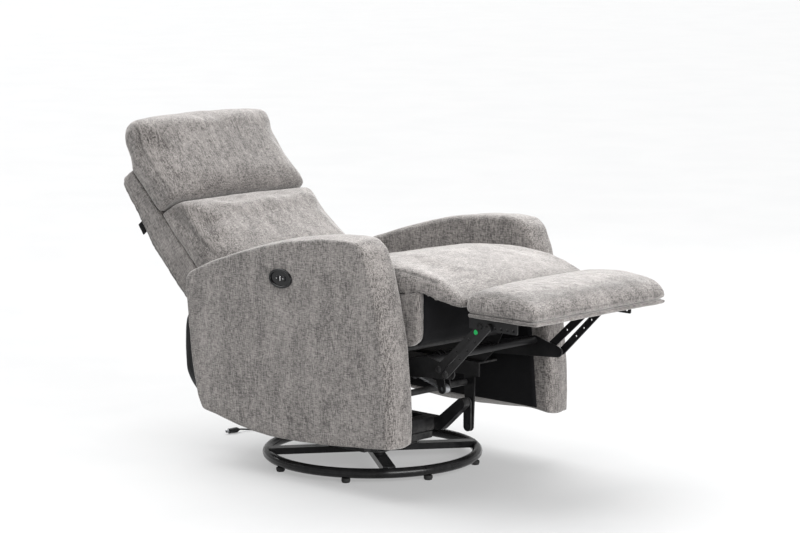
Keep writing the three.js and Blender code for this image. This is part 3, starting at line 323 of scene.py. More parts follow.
def smooth_by_angle(limit):
    """A geometry-nodes group that clears imported normals and leaves only edges past the limit sharp."""
    group = bpy.data.node_groups.new("smooth_by_angle", "GeometryNodeTree")
    for way in ("INPUT", "OUTPUT"):
        group.interface.new_socket("Geometry", in_out=way, socket_type="NodeSocketGeometry")
    nodes, links = group.nodes, group.links
    given, result = nodes.new("NodeGroupInput"), nodes.new("NodeGroupOutput")
    weld = nodes.new("GeometryNodeMergeByDistance")
    weld.inputs["Distance"].default_value = WELD
    angle = nodes.new("GeometryNodeInputMeshEdgeAngle")
    sharp = nodes.new("FunctionNodeCompare")
    sharp.data_type, sharp.operation = "FLOAT", "GREATER_THAN"
    sharp.inputs[1].default_value = limit
    shade = nodes.new("GeometryNodeSetMeshNormal")
    shade.mode = "SHARPNESS"
    shade.inputs["Remove Custom"].default_value = True
    links.new(given.outputs[0], weld.inputs["Geometry"])
    links.new(weld.outputs["Geometry"], shade.inputs["Mesh"])
    links.new(angle.outputs["Unsigned Angle"], sharp.inputs[0])
    links.new(sharp.outputs["Result"], shade.inputs["Edge Sharpness"])
    links.new(shade.outputs["Mesh"], result.inputs[0])
    return group


SMOOTHING = smooth_by_angle(SHARP_ANGLE)

# Carried-over CAD nodes get their materials, smooth shading and small edge roundings as modifiers.
for part in frame["record"]["subparts"]:
    node = NODES[part["node"]]
    slot = part["material_slot"]
    node.data.materials.clear()
    node.data.materials.append(SLOT_MATERIALS[slot])
    if slot in BEVELLED:
        node.modifiers.new("shading", "NODES").node_group = SMOOTHING
        bevel = node.modifiers.new("edges", "BEVEL")
        bevel.width = BEVELLED[slot] * MM
        bevel.segments = 2
        bevel.limit_method = "ANGLE"
        bevel.angle_limit = BEVEL_ANGLE
        flats = node.modifiers.new("flats", "WEIGHTED_NORMAL")
        flats.keep_sharp = False
        flats.weight = 80


# Mesh helpers

def finished(piece, slot_name, body, nodes=(), material=None):
    """Gives a piece its finish, its body and the CAD nodes it replaces."""
    mesh = piece.data
    mesh.materials.clear()
    mesh.materials.append(material or SLOT_MATERIALS[slot_name])
    mesh.polygons.foreach_set("use_smooth", [True] * len(mesh.polygons))
    if nodes:
        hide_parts(*nodes)
    if body:
        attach(piece, body)
    return piece


def shown(name, mesh, slot_name, body, nodes=(), material=None):
    """A new piece for a mesh."""
    return finished(placed(name, mesh), slot_name, body, nodes, material)


def from_lists(name, points, faces):
    mesh = bpy.data.meshes.new(name)
    mesh.from_pydata([tuple(p) for p in points], [], faces)
    bm = bmesh.new()
    bm.from_mesh(mesh)
    bmesh.ops.remove_doubles(bm, verts=bm.verts, dist=1e-6)
    bmesh.ops.recalc_face_normals(bm, faces=bm.faces)
    bm.to_mesh(mesh)
    bm.free()
    mesh.update()
    return mesh


def normals_of(mesh):
    mesh.update()
    return coordinates_of(mesh, "normal")


def set_coordinates(mesh, co):
    mesh.vertices.foreach_set("co", np.ascontiguousarray(co).ravel())
    mesh.update()


def set_attribute(mesh, name, values):
    layer = mesh.attributes.get(name) or mesh.attributes.new(name, "FLOAT", "POINT")
    layer.data.foreach_set("value", np.clip(values, 0, 1).astype(np.float32))


def applied(piece):
    """The object's mesh with its modifiers applied; the modifiers go."""
    bpy.context.view_layer.update()
    graph = bpy.context.evaluated_depsgraph_get()
    made = bpy.data.meshes.new_from_object(piece.evaluated_get(graph))
    piece.modifiers.clear()
    piece.data = made
    return made


def subdivided(piece):
    modifier = piece.modifiers.new("finer", "SUBSURF")
    modifier.levels = modifier.render_levels = 1
    applied(piece)


def ripples(co, wavelength, seed, count=28):
    """A smooth seeded noise of about -1 to 1 at each point, from crossing sine waves."""
    random = np.random.default_rng(seed)
    directions = random.normal(size=(count, 3))
    directions /= np.linalg.norm(directions, axis=1)[:, None]
    numbers = 2 * pi / (wavelength * MM) * random.uniform(0.7, 1.4, size=(count, 1))
    waves = directions * numbers
    phases = random.uniform(0, 2 * pi, size=count)
    total = np.zeros(len(co))
    for wave, phase in zip(waves, phases):
        total += np.sin(co @ wave + phase)
    return total / sqrt(count / 2) / 2


def marks_along(line):
    """The way from the line's start to each of its points."""
    return np.concatenate([[0], np.cumsum(np.linalg.norm(np.diff(line, axis=0), axis=1))])


def resampled(line, step, fewest, endpoint):
    marks = marks_along(line)
    count = max(fewest, int(round(marks[-1] / step)))
    where = np.linspace(0, marks[-1], count, endpoint=endpoint)
    return np.stack([np.interp(where, marks, column) for column in line.T], axis=1), marks[-1]


def smoothed_loop(points, sigma, step):
    """A closed outline, made anticlockwise, evenly spaced and rounded by a Gaussian."""
    points = np.array(points, float)
    dense, length = resampled(np.vstack([points, points[:1]]), step, 24, False)
    frequencies = np.fft.fftfreq(len(dense), d=length / len(dense))
    kernel = np.exp(-2 * (pi * frequencies * sigma) ** 2)
    loop = np.real(np.fft.ifft(np.fft.fft(dense, axis=0) * kernel[:, None], axis=0))
    y, z = loop[:, 0], loop[:, 1]
    return loop if np.sum(y * np.roll(z, -1) - np.roll(y, -1) * z) > 0 else loop[::-1]


def smoothed_line(points, sigma, step):
    """An open line, evenly spaced and rounded; its ends stay."""
    dense, _ = resampled(np.array(points, float), step, 8, True)
    reach = max(1, int(3 * sigma / step))
    weights = np.exp(-0.5 * (np.arange(-reach, reach + 1) * step / sigma) ** 2)
    weights /= weights.sum()
    before = 2 * dense[0] - dense[reach:0:-1]
    after = 2 * dense[-1] - dense[-2:-reach - 2:-1]
    longer = np.vstack([before, dense, after])
    return np.stack([np.convolve(column, weights, mode="valid") for column in longer.T], axis=1)


def loop_normals(loop):
    """Outward unit normals of an anticlockwise closed outline."""
    ahead = np.roll(loop, -1, axis=0) - np.roll(loop, 1, axis=0)
    ahead /= np.maximum(1e-9, np.linalg.norm(ahead, axis=1))[:, None]
    return np.stack([ahead[:, 1], -ahead[:, 0]], axis=1)


def ring_faces(rings, count):
    """The faces between closed rings of count points each."""
    return [(i * count + j, i * count + (j + 1) % count, (i + 1) * count + (j + 1) % count, (i + 1) * count + j)
            for i in range(rings - 1) for j in range(count)]


def end_faces(rings, count):
    """One face over the first ring and one over the last."""
    return [tuple(range(count))[::-1], tuple((rings - 1) * count + j for j in range(count))]


def sheet_faces(rows, columns):
    """The faces of a thin sheet: two layers of rows by columns, and the border that joins them."""
    width = columns + 1
    block = (rows + 1) * width
    corners = [layer * block + i * width + j for layer in (0, 1) for i in range(rows) for j in range(columns)]
    faces = [(a, a + 1, a + width + 1, a + width) for a in corners]
    border = list(range(columns)) + [i * width + columns for i in range(rows)]
    border += [rows * width + j for j in range(columns, 0, -1)] + [i * width for i in range(rows, 0, -1)]
    return faces + [(a, b, block + b, block + a) for a, b in zip(border, border[1:] + border[:1])]


def skin(name, rings, place=at):
    """A closed skin over rings of points in the drawing that place reads, with a point at each end."""
    count = len(rings[0])
    points = [p for ring in rings for p in ring]
    faces = ring_faces(len(rings), count)
    for index in (0, len(rings) - 1):
        tip = len(points)
        points.append(np.mean(rings[index], axis=0))
        faces += [(index * count + j, index * count + (j + 1) % count, tip) for j in range(count)]
    return from_lists(name, [place(*p) for p in points], faces)


def ring_at(x, loop):
    return np.column_stack([np.broadcast_to(x, len(loop)), loop])


def circle(centre, side, other, radius, sides):
    angles = [2 * pi * j / sides for j in range(sides)]
    return [centre + radius * (cos(a) * side + sin(a) * other) for a in angles]


def tube(name, path, radii, sides):
    """A round tube along a line of metre points, with a radius at each."""
    path = [Vector(p) for p in path]
    points = []
    side = (path[1] - path[0]).normalized().orthogonal().normalized()
    for i, p in enumerate(path):
        ahead = (path[min(i + 1, len(path) - 1)] - path[max(i - 1, 0)]).normalized()
        side = (side - ahead * side.dot(ahead)).normalized()
        points += circle(p, side, ahead.cross(side), radii[i], sides)
    return from_lists(name, points, ring_faces(len(path), sides) + end_faces(len(path), sides))


def turned(name, profile, base, axis, sides=24):
    """A turned solid: profile rows are (radius, height) in millimetres along the axis from base in metres."""
    axis = Vector(axis).normalized()
    side = axis.orthogonal().normalized()
    other = axis.cross(side)
    points = []
    for radius, height in profile:
        points += circle(Vector(base) + axis * height * MM, side, other, radius * MM, sides)
    ends = zip(end_faces(len(profile), sides), (profile[0], profile[-1]))
    faces = ring_faces(len(profile), sides) + [face for face, row in ends if row[0] > 0.01]
    return from_lists(name, points, faces)


def joined(name, meshes, weld=0.0):
    """One mesh from several, with points closer than weld made one."""
    bm = bmesh.new()
    for mesh in meshes:
        bm.from_mesh(mesh)
    if weld:
        bmesh.ops.remove_doubles(bm, verts=bm.verts, dist=weld)
    made = bpy.data.meshes.new(name)
    bm.to_mesh(made)
    bm.free()
    return made


# The cord: its route repeats the lead's in the CAD source

def between(t, start, end, a, b):
    return (end - t) / (end - start) * a + (t - start) / (end - start) * b


def smooth_path(points, per_span):
    """A centripetal Catmull-Rom line through the points."""
    points = [Vector(p) for p in points]
    ends = [2 * points[0] - points[1], *points, 2 * points[-1] - points[-2]]
    line = []
    for a, b, c, d in zip(ends, ends[1:], ends[2:], ends[3:]):
        times_at = [0.0]
        for p, q in ((a, b), (b, c), (c, d)):
            times_at.append(times_at[-1] + max(1e-6, (q - p).length) ** 0.5)
        t0, t1, t2, t3 = times_at
        for step in range(per_span):
            t = t1 + (t2 - t1) * step / per_span
            a1, a2, a3 = between(t, t0, t1, a, b), between(t, t1, t2, b, c), between(t, t2, t3, c, d)
            line.append(between(t, t1, t2, between(t, t0, t2, a1, a2), between(t, t1, t3, a2, a3)))
    line.append(points[-1])
    return line


LEAD_ROUTE = [
    (0.060, 0.281, 0.1794), (0.060, 0.281, 0.160), (0.060, 0.286, 0.138), (0.059, 0.300, 0.112),
    (0.058, 0.326, 0.080), (0.057, 0.360, 0.046), (0.056, 0.400, 0.020), (0.054, 0.436, 0.0075),
    (0.050, 0.470, 0.0036), (0.042, 0.506, 0.0032), (0.028, 0.536, 0.0034), (0.010, 0.553, 0.005),
    (-0.006, 0.558, 0.0074), (-0.014, 0.559, 0.008),
]
LEAD_DIAMETER = 0.005
lead_line = smooth_path(LEAD_ROUTE, 6)
lead_mesh = tube("lead", lead_line, [LEAD_DIAMETER / 2] * len(lead_line), 14)
lead = shown("lead", lead_mesh, "lead_rubber", "seat_frame", ["power_lead"])

# Stage and lights

floor = bpy.data.meshes.new("floor")
floor.from_pydata([(-90, -90, 0), (90, -90, 0), (90, 90, 0), (-90, 90, 0)], [], [(0, 1, 2, 3)])
ground = Shader("pale_floor", specular_ior_level=0.1, roughness=0.6, emission_strength=0.35,
                emission_color=(1, 1, 1))
scuffs = ground.noise(2.2, 6.0, 0.62, 0.5)
scuffed = ground.ramp(scuffs, (0.35, (0.232, 0.234, 0.236)), (0.6, (0.244, 0.245, 0.246)))
ground.feed(ground.bsdf.inputs["Base Color"], scuffed)
floor.materials.append(ground.material)
placed("floor", floor)

world = bpy.data.worlds.new("studio")
scene.world = world
world.use_nodes = True
sky = world.node_tree.nodes["Background"]
sky.inputs["Color"].default_value = (1.0, 1.0, 1.0, 1.0)
sky.inputs["Strength"].default_value = 0.5
scene.view_settings.view_transform = "Standard"


def lamp(name, kind, power, direction, place=(0, 0, 0)):
    data = bpy.data.lights.new(name, kind)
    data.energy = power
    light = placed(name, data)
    light.location = place
    aimed(light, direction)
    return data


def softbox(name, place, size, power):
    data = lamp(name, "AREA", power, Vector((0, 0, 0.5)) - Vector(place), place)
    data.shape = "RECTANGLE"
    data.size, data.size_y = size


softbox("key", (-0.9, -5.0, 1.9), (3.6, 2.4), 330)
lamp("overhead", "SUN", 6.5, (-0.08, -0.45, -0.89)).angle = radians(75)
softbox("rim", (3.4, 0.6, 2.4), (1.8, 1.8), 30)


# Soft pieces

VOXEL = 6.0


def evenly_meshed(name, mesh):
    """The closed mesh as a new object with evenly spaced points."""
    piece = placed(name, mesh)
    mesh.materials.clear()
    remesh = piece.modifiers.new("voxels", "REMESH")
    remesh.mode = "VOXEL"
    remesh.voxel_size = VOXEL * MM
    soften = piece.modifiers.new("soften", "SMOOTH")
    soften.factor = 0.5
    soften.iterations = 3
    applied(piece)
    return piece


def pillow(name, table, half, radius, crown, place=at, rest=0.15, reshape=None):
    """A stuffed form across the chair. Table rows go round its outline: y, z and softness, which is 1 where
    the cover swells and rounds off to its ends, and 0 where it lies on its frame."""
    loop = smoothed_loop(table, 5.0, VOXEL)
    soft = np.clip(loop[:, 2], 0, 1)
    normals = loop_normals(loop[:, :2])
    flat = half - radius
    turn = [pi / 2 * k / 9 for k in range(1, 10)]
    stations = [-flat - radius * sin(a) for a in reversed(turn)]
    stations += list(np.linspace(-flat, flat, 41)) + [flat + radius * sin(a) for a in turn]
    rings = []
    for x in stations:
        into = min(1.0, max(0.0, abs(x) - flat) / radius)
        rounding = radius * (1 - sqrt(1 - into * into))
        swell = crown * (1 - (x / half) ** 2)
        line = loop[:, :2] - normals * ((rest + (1 - rest) * soft) * rounding - soft * swell)[:, None]
        rings.append(reshape(ring_at(x, line)) if reshape else ring_at(x, line))
    return evenly_meshed(name, skin(name, rings, place))


def evened(mesh, values, rounds):
    """Values at the points, averaged with their neighbours' that many times."""
    ends = np.empty(len(mesh.edges) * 2, dtype=np.int64)
    mesh.edges.foreach_get("vertices", ends)
    a, b = ends.reshape(-1, 2).T
    both, other = np.concatenate([a, b]), np.concatenate([b, a])
    size = len(values)
    counts = np.maximum(1, np.bincount(both, minlength=size))
    for _ in range(rounds):
        sums = np.stack([np.bincount(both, column[other], size) for column in values.T], axis=1)
        values = 0.5 * values + 0.5 * sums / counts[:, None]
    return values


CLOTH = {
    "quality": 6, "mass": 0.25, "tension_stiffness": 18, "compression_stiffness": 18, "shear_stiffness": 10,
    "bending_stiffness": 4.0, "use_pressure": True, "uniform_pressure_force": 4.0, "vertex_group_mass": "held",
}
CLOTH_FRAMES = 20


def swollen(piece, held, cap, shrink):
    """Draws the piece in by shrink, then swells it as cloth under pressure. Held is each point's pin weight,
    cap the most it may move."""
    mesh = piece.data
    start = coordinates_of(mesh)
    set_coordinates(mesh, start - normals_of(mesh) * shrink * MM * (1 - held)[:, None])
    group = piece.vertex_groups.new(name="held")
    for weight in (0.25, 0.5, 0.75, 1.0):
        members = np.nonzero((held > weight - 0.25) & (held <= weight))[0]
        group.add([int(i) for i in members], weight, "REPLACE")
    cloth = piece.modifiers.new("cloth", "CLOTH")
    for key, value in CLOTH.items():
        setattr(cloth.settings, key, value)
    cloth.settings.effector_weights.gravity = 0
    cloth.point_cache.frame_end = CLOTH_FRAMES
    for number in range(1, CLOTH_FRAMES + 1):
        scene.frame_set(number)
    made = applied(piece)
    scene.frame_set(1)
    moved = coordinates_of(made) - start
    lengths = np.linalg.norm(moved, axis=1)
    moved *= np.minimum(1.0, cap * MM / np.maximum(1e-9, lengths))[:, None]
    # The foam under the cover keeps it from folding, so only the broad swelling stays.
    moved = evened(made, moved, 14) * (1 - 0.6 * held)[:, None]
    set_coordinates(made, start + moved)


def inflated(piece, held, cap, shrink, half_width):
    """The swollen piece with finer faces, and no point further from the chair's middle plane than half_width."""
    swollen(piece, held, cap, shrink)
    subdivided(piece)
    co = coordinates_of(piece.data)
    co[:, 0] = np.clip(co[:, 0], -half_width * MM, half_width * MM)
    set_coordinates(piece.data, co)


def sewn(piece, seams, wrinkle, wavelength, seed):
    """Presses seams into the surface, with small puckers beside them, adds soft wrinkles, and keeps painted shade
    along each seam as a point attribute.
    Each seam is (distance in mm of each point from it, depth, width, mask)."""
    mesh = piece.data
    co, normals = coordinates_of(mesh), normals_of(mesh)
    lift = wrinkle * ripples(co, wavelength, seed) + 0.45 * wrinkle * ripples(co, wavelength * 0.42, seed + 7)
    shade = np.zeros(len(co))
    for number, (distance, depth, width, mask) in enumerate(seams):
        near = np.exp(-(distance / width) ** 2) * mask
        beside = np.exp(-(distance / (width * 6)) ** 2) * mask
        pucker = ripples(co, 26.0, seed + 31 + number) * 0.9
        lift += beside * pucker * 0.8 - near * depth
        lift += np.exp(-((distance - width * 2.6) / (width * 1.7)) ** 2) * mask * depth * 0.28
        shade = np.maximum(shade, near)
    set_coordinates(mesh, co + normals * (lift * MM)[:, None])
    set_attribute(mesh, "seam_shade", shade)


def quarter(steps, falling=False):
    """How far over and in a quarter rounding lies at each step, as shares of its radius."""
    turns = [pi / 2 * (1 - k / steps if falling else k / steps) for k in range(steps + 1)]
    return [(1 - cos(turn), 1 - sin(turn)) for turn in turns]


def ease(value, low, high):
    t = np.clip((value - low) / (high - low), 0, 1)
    return t * t * (3 - 2 * t)


def off_side(x, place):
    """The distance of each x from the place on its side of the middle plane."""
    return np.abs(np.abs(x) - place)


# The shell's front face in the back's frame: y for a height z.
SHELL_FRONT = [(31.0, 139.0), (83.0, 164.4), (351.7, 205.9), (530.4, 235.5)]


def on_shell(y, z):
    """1 where a point of the back lies on the shell's front face, 0 well ahead of it."""
    return ease(y - np.interp(z, [p[0] for p in SHELL_FRONT], [p[1] for p in SHELL_FRONT]), -16, -5)


# Head cushion: it rests on the shell, and leans over its top
HEAD_OUTLINE = [
    (206, 366, 0), (176, 365.5, 0.05), (150, 365.5, 0.1), (136, 369, 0.25), (129, 381, 0.6), (127.5, 401, 0.9),
    (129, 420, 1), (132, 470, 1), (135, 524, 1), (135.5, 569, 1), (133, 600, 1), (136, 624, 1), (147, 641, 1),
    (167, 648, 1), (190, 644.5, 1), (209, 631, 1), (222.5, 600, 0.9), (225, 565, 0.7), (228, 538, 0.2),
    (233.5, 529, 0), (221.8, 455.6, 0), (211, 387.5, 0),
]
HEAD_FOOT, SHELL_TOP = 367, 531
head = pillow("head_pillow", HEAD_OUTLINE, 263, 26, 20, on_back)
x, y, z = back_columns(head)
on_frame = on_shell(y, z) * (1 - ease(z, SHELL_TOP - 9, SHELL_TOP + 9))
inflated(head, np.maximum(on_frame, 0.75 * (1 - ease(z, HEAD_FOOT, HEAD_FOOT + 10))), 10, 1.0, 266)
x, y, z = back_columns(head)
open_side = ease(z, HEAD_FOOT, HEAD_FOOT + 20) * (np.abs(x) > 200)
sewn(head, [
    (off_side(x, 254.0), 1.3, 1.8, 0.6 * open_side),
    (np.abs(y - 214), 1.8, 3.0, ease(z, 585, 600)),
], 0.9, 120, 3)
# A painted highlight along the head cushion's open side edges
set_attribute(head.data, "edge", 0.9 * np.exp(-((np.abs(x) - 249.0) / 2.6) ** 2) * open_side)
finished(head, "cushion_fabric", "back", ["head_cushion"], BACK_UPHOLSTERY)

# Lumbar cushion
LUMBAR_OUTLINE = [
    (206, 361, 0), (176, 362.5, 0.05), (145, 362.5, 0.1), (123, 357, 0.3), (110, 341, 0.65), (104, 310, 0.95),
    (97, 250, 1), (80, 189, 1), (61.5, 133, 1), (39, 63, 0.85), (27.5, 20, 0.3), (49, 6.5, 0), (84, 10, 0),
    (124, 37, 0), (163.5, 83, 0), (174.5, 143, 0), (185.5, 211, 0), (196.5, 280, 0),
]
lumbar = pillow("lumbar_pillow", LUMBAR_OUTLINE, 261, 28, 19, on_back)
x, y, z = back_columns(lumbar)
inflated(lumbar, np.maximum(on_shell(y, z), 1 - ease(z, 12, 34)), 10, 1.0, 264)
x, y, z = back_columns(lumbar)
sewn(lumbar, [(off_side(x, 252.0), 1.3, 1.8, (np.abs(x) > 200) * 0.6)], 1.0, 130, 5)
finished(lumbar, "cushion_fabric", "back", ["lumbar_cushion"], BACK_UPHOLSTERY)

# Back shell: the CAD solid upholstered, with a seam where the side panels meet the rear panel
shell = evenly_meshed("back_upholstery", joined("back_upholstery", [NODES["back_shell"].data], WELD))
subdivided(shell)
x, y, z = back_columns(shell)
rear_edge = np.interp(z, [84, 105, 201, 318, 424, 521], [268, 270, 284, 299, 295, 294])
sewn(shell, [
    (np.abs(y - (rear_edge - 9)) + 3.0 * np.maximum(0, 250 - np.abs(x)), 2.0, 3.0, 1.0),
    (off_side(x, 246), 2.0, 3.0, ease(y - rear_edge, -8, -2)),
], 0.8, 140, 9)
finished(shell, "upholstery", "back", ["back_shell"], BACK_UPHOLSTERY)


# Seat cushion and chaise pad in one cover, drawn as it lies over the footrest's hinge

BOX_FRONT_Y, BOX_DEPTH, BOX_FRONT_TOP, BOX_DROP, BOX_HALF = -418, 548, 545, 101, 262


def seat_rest(y):
    """The height of the seat box's top at y."""
    return BOX_FRONT_TOP - (y - BOX_FRONT_Y) * BOX_DROP / BOX_DEPTH


SEAT_OUTLINE = [
    (-432, 541.5, 0), (-417.5, 546, 0), (-260, 516.5, 0), (-100, 487, 0), (40, 461, 0), (150, 441, 0),
    (200, 442, 0), (212, 452, 0), (212, 468, 0.1), (205.7, 485, 0.3), (188, 497, 0.6), (150, 509, 1),
    (89.8, 526, 1), (0, 548, 1), (-99.7, 570, 1), (-204.9, 591, 1), (-300, 601, 1), (-352, 602, 1), (-398, 600, 1),
    (-425, 597, 1), (-450, 592.5, 1), (-480, 585.5, 1), (-515, 573, 1), (-545, 559, 1), (-566, 546, 0.8),
    (-576, 535, 0.4), (-574, 524, 0.1), (-560, 517, 0), (-528, 520, 0), (-459, 535, 0),
]
TONGUE_HALF, TONGUE_START, TONGUE_CUT = 211, 135, 0.96


def tongued(ring):
    """Beside its tongue the cushion ends ahead of the back's pivot posts."""
    return [(x, y - TONGUE_CUT * (abs(x) > TONGUE_HALF) * max(0, y - TONGUE_START), z) for x, y, z in ring]


seat = pillow("seat_and_chaise_pad", SEAT_OUTLINE, 262.5, 22, 9, reshape=tongued)
x, y, z = chair_columns(seat)
under = np.where(y > -425, seat_rest(y), np.interp(y, [-576, -560, -459, -425], [530, 517, 535, 543]))
inflated(seat, np.maximum(1 - ease(z - under, 3, 14), ease(y, 115, 142)), 9, 0.8, 264.5)
x, y, z = chair_columns(seat)
sewn(seat, [(off_side(x, 254.0), 1.3, 2.4, (np.abs(x) > 200) * ease(z - seat_rest(y), 10, 20))], 1.0, 130, 11)
finished(seat, "cushion_fabric", None, ["seat_cushion", "chaise_pad"])
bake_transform(seat)

# Ottoman cushion on its board
OTTOMAN_OUTLINE = [
    (-583, 509, 0), (-577.5, 517, 0.1), (-577.5, 546, 0.5), (-582.5, 557, 0.9), (-600, 563, 1), (-648, 568, 1),
    (-698, 570, 1), (-750, 566.5, 1), (-785, 558.5, 1), (-805, 544, 0.75), (-813, 527, 0.4), (-811, 513, 0.15),
    (-800, 509, 0), (-700, 509, 0),
]
ottoman = pillow("ottoman_pad", OTTOMAN_OUTLINE, 263, 21, 7, rest=0.1)
x, y, z = chair_columns(ottoman)
inflated(ottoman, 1 - ease(z, 510, 520), 7, 0.8, 266)
x, y, z = chair_columns(ottoman)
front_seam = np.abs(z - 524) + 2 * np.maximum(0, y + 780)
rear_fold = np.maximum(0, y + 586) + 0.5 * np.maximum(0, z - 548)
# The rear fold presses no groove: besides small puckers it only paints shade along the valley where the ottoman
# meets the seat's pad
sewn(ottoman, [
    (front_seam, 0.7, 2.0, 0.6), (8 - rear_fold, 0.0, 5.0, 0.7 * (rear_fold > 0)),
], 0.8, 110, 17)
finished(ottoman, "cushion_fabric", "ottoman", ["ottoman_cushion"])


# Arms: a flat outer panel sewn to a crowned band

# The outline as shares of the arm's length and height, and of how far it rises towards the inner panel
ARM_SHARES = [
    (0.001, 0.05), (0, 0.171), (0.003, 0.291), (0.021, 0.518), (0.052, 0.725), (0.082, 0.868),
    (0.113, 0.957), (0.155, 0.995), (0.209, 1), (0.326, 0.991), (0.495, 0.957), (0.61, 0.92),
    (0.744, 0.866), (0.874, 0.806), (0.976, 0.746), (0.999, 0.709), (0.995, 0.636), (0.985, 0.498),
    (0.974, 0.35), (0.961, 0.254), (0.942, 0.132), (0.916, 0.068), (0.851, 0.057), (0.771, 0.032),
    (0.669, 0.009), (0.57, 0), (0.421, 0.002), (0.296, 0.013), (0.182, 0.029), (0.09, 0.041),
]
ARM_RISE_SHARES = [0.07] + [0] * 20 + [0.13, 0.27, 0.67, 1.07, 1.23, 1.27, 1.23, 0.97, 0.5]
ARM_FRONT_Y, ARM_LENGTH, ARM_BOTTOM, ARM_HEIGHT, ARM_RISE = -410, 776, 114, 560, 30
ARM_INNER, ARM_THICK = 267.0, 93.0
ARM_EDGE, ARM_FRONT, ARM_ROUND = 7.0, 18.0, 16.0
ARM_CENTRE = np.array((-20.0, 400.0))
arm_table = np.array([
    (ARM_FRONT_Y + ARM_LENGTH * y, ARM_BOTTOM + ARM_HEIGHT * z, rise)
    for (y, z), rise in zip(ARM_SHARES, ARM_RISE_SHARES)
])
arm_loop = smoothed_loop(arm_table, 7.0, 4.5)
arm_normals = loop_normals(arm_loop[:, :2])
arm_y, arm_z, arm_rise = arm_loop.T

# Each outline point's share in the broad front rounding, by its normal, and near the floor by its place
arm_fronting = np.clip(-arm_normals[:, 0], 0, 1) ** 2
for _ in range(30):
    arm_fronting = (np.roll(arm_fronting, 1) + 2 * arm_fronting + np.roll(arm_fronting, -1)) / 4
front_edge = arm_loop[(arm_normals[:, 0] < -0.9) & (arm_z < 420)][:, :2]
front_edge = front_edge[np.argsort(front_edge[:, 1])]
arm_front = np.interp(arm_z, front_edge[:, 1], front_edge[:, 0])
arm_broad = np.where(arm_z < 200, 1 - ease(arm_y - arm_front, 26, 70), arm_fronting)


def arm_ring(x, inset, front_inset=0.0, toward=0.0):
    """The arm's outline at x, pulled in all round, more so at its front, and moved a share towards its middle."""
    share = 1 - (x - ARM_INNER) / ARM_THICK
    loop = arm_loop[:, :2] - arm_normals * (inset + front_inset * arm_fronting * ease(arm_z, 150, 200))[:, None]
    behind = np.maximum(loop[:, 0], arm_front + inset + front_inset)
    loop[:, 0] = np.where((arm_z < 230) & (front_inset > 0), behind, loop[:, 0])
    crown = np.clip(arm_normals[:, 1], 0, 1) * (7 * share - 4)
    loop[:, 1] += share * arm_rise * ARM_RISE + crown
    return ring_at(x, loop + (ARM_CENTRE - loop) * toward)


def arm_mesh(name, sign):
    """Rings from the inner panel along the crowned band into the outer panel, whose edge is tight along the top
    and rounds broadly into the front."""
    outer, inner = ARM_INNER + ARM_THICK, ARM_INNER
    outer_edge = ARM_EDGE + ARM_FRONT * arm_broad
    rings = [arm_ring(inner - 2.4 * (1 - (1 - toward) ** 3), ARM_ROUND, 0.0, toward)
             for toward in (0.97, 0.9, 0.8, 0.68, 0.55, 0.42, 0.3, 0.2, 0.12, 0.06)]
    rings += [arm_ring(inner + ARM_ROUND * over, ARM_ROUND * inset) for over, inset in quarter(6)]
    for share in np.linspace(0, 1, 12)[1:-1]:
        x = inner + ARM_ROUND + share * (ARM_THICK - ARM_ROUND - outer_edge)
        rings.append(arm_ring(x, -3.0 * (1 - (2 * share - 1) ** 2)))
    rings += [arm_ring(outer - outer_edge * over, ARM_EDGE * inset, ARM_FRONT * inset)
              for over, inset in quarter(9, True)]
    rings += [arm_ring(outer + 2.6 * (1 - (1 - toward) ** 4), ARM_EDGE, ARM_FRONT, toward)
              for toward in (0.01, 0.025, 0.045, 0.07, 0.11, 0.16, 0.23, 0.31, 0.4, 0.5, 0.6, 0.7, 0.8, 0.9, 0.97)]
    return skin(name, [ring * (sign, 1, 1) for ring in rings])


ROWS, COLUMNS = 30, 44
LINING_LOW, LINING_HIGH = 158.0, 470.0
arm_outline = smoothed_loop(arm_table[:, :2], 7.0, 12.0)
for word, sign in SIDES:
    piece = placed("arm_upholstery_" + word, arm_mesh("arm_upholstery_" + word, sign))
    x, y, z = chair_columns(piece)
    sewn(piece, [], 0.7, 150, 21 + sign)
    # The outer panel's seam is a painted line of shade, faint along the top and rear edges, fading out into the
    # front.
    near = np.min(np.hypot(y[:, None] - arm_outline[None, :, 0], z[:, None] - arm_outline[None, :, 1]), axis=1)
    seam_shade = np.exp(-((near - 7.5) / 1.8) ** 2) * (np.abs(x) > 357) * ease(y, -300, -200)
    set_attribute(piece.data, "seam_shade", 0.35 * seam_shade)
    finished(piece, "upholstery", "seat_frame", ["arm_" + word])
    # Lining: thin black cloth, a little slack, tacked along its edges
    points = []
    for out, slackness in ((263.3, 1), (266.5, 0)):
        for i in range(ROWS + 1):
            for j in range(COLUMNS + 1):
                v, u = i / ROWS, j / COLUMNS
                y_front, y_rear = -368.0 + 30.0 * v, 294.0 + 42.0 * v
                slack = sin(pi * u) * sin(pi * v) * slackness
                pleat = sin(u * 21 + 2.2 * v) * 0.5 + sin(u * 47 - 3 * v) * 0.3
                points.append(at(sign * (out + 0.56 * pleat * slack), y_front + u * (y_rear - y_front),
                                 LINING_LOW + v * (LINING_HIGH - LINING_LOW)))
    lining = from_lists("lining_" + word, points, sheet_faces(ROWS, COLUMNS))
    shown("lining_" + word, lining, "black_lining", "seat_frame", ["arm_lining_" + word])


# Seat box: padded side panels that wrap its front ends, and black cloth over the rails between them

side_loop = smoothed_loop([
    (-417.5, 543.5), (-417.5, 480), (-417.8, 440), (-415, 420), (-408, 410), (-398, 404), (-388, 398.5),
    (-300, 391.5), (-150, 378), (0, 363), (100, 344), (129.5, 340.5), (129.5, 400), (129.5, 442),
    (0, 466.5), (-200, 503),
], 4.0, 4.5)
side_normals = loop_normals(side_loop)
SIDE_MIDDLE = np.array((-145.0, 433.0))
PANEL_INNER, INNER_EDGE, OUTER_EDGE = 238.4, 6, 9


def panel_ring(x, amount, toward=0.0):
    loop = side_loop - side_normals * amount
    return ring_at(x, loop + (SIDE_MIDDLE - loop) * toward)


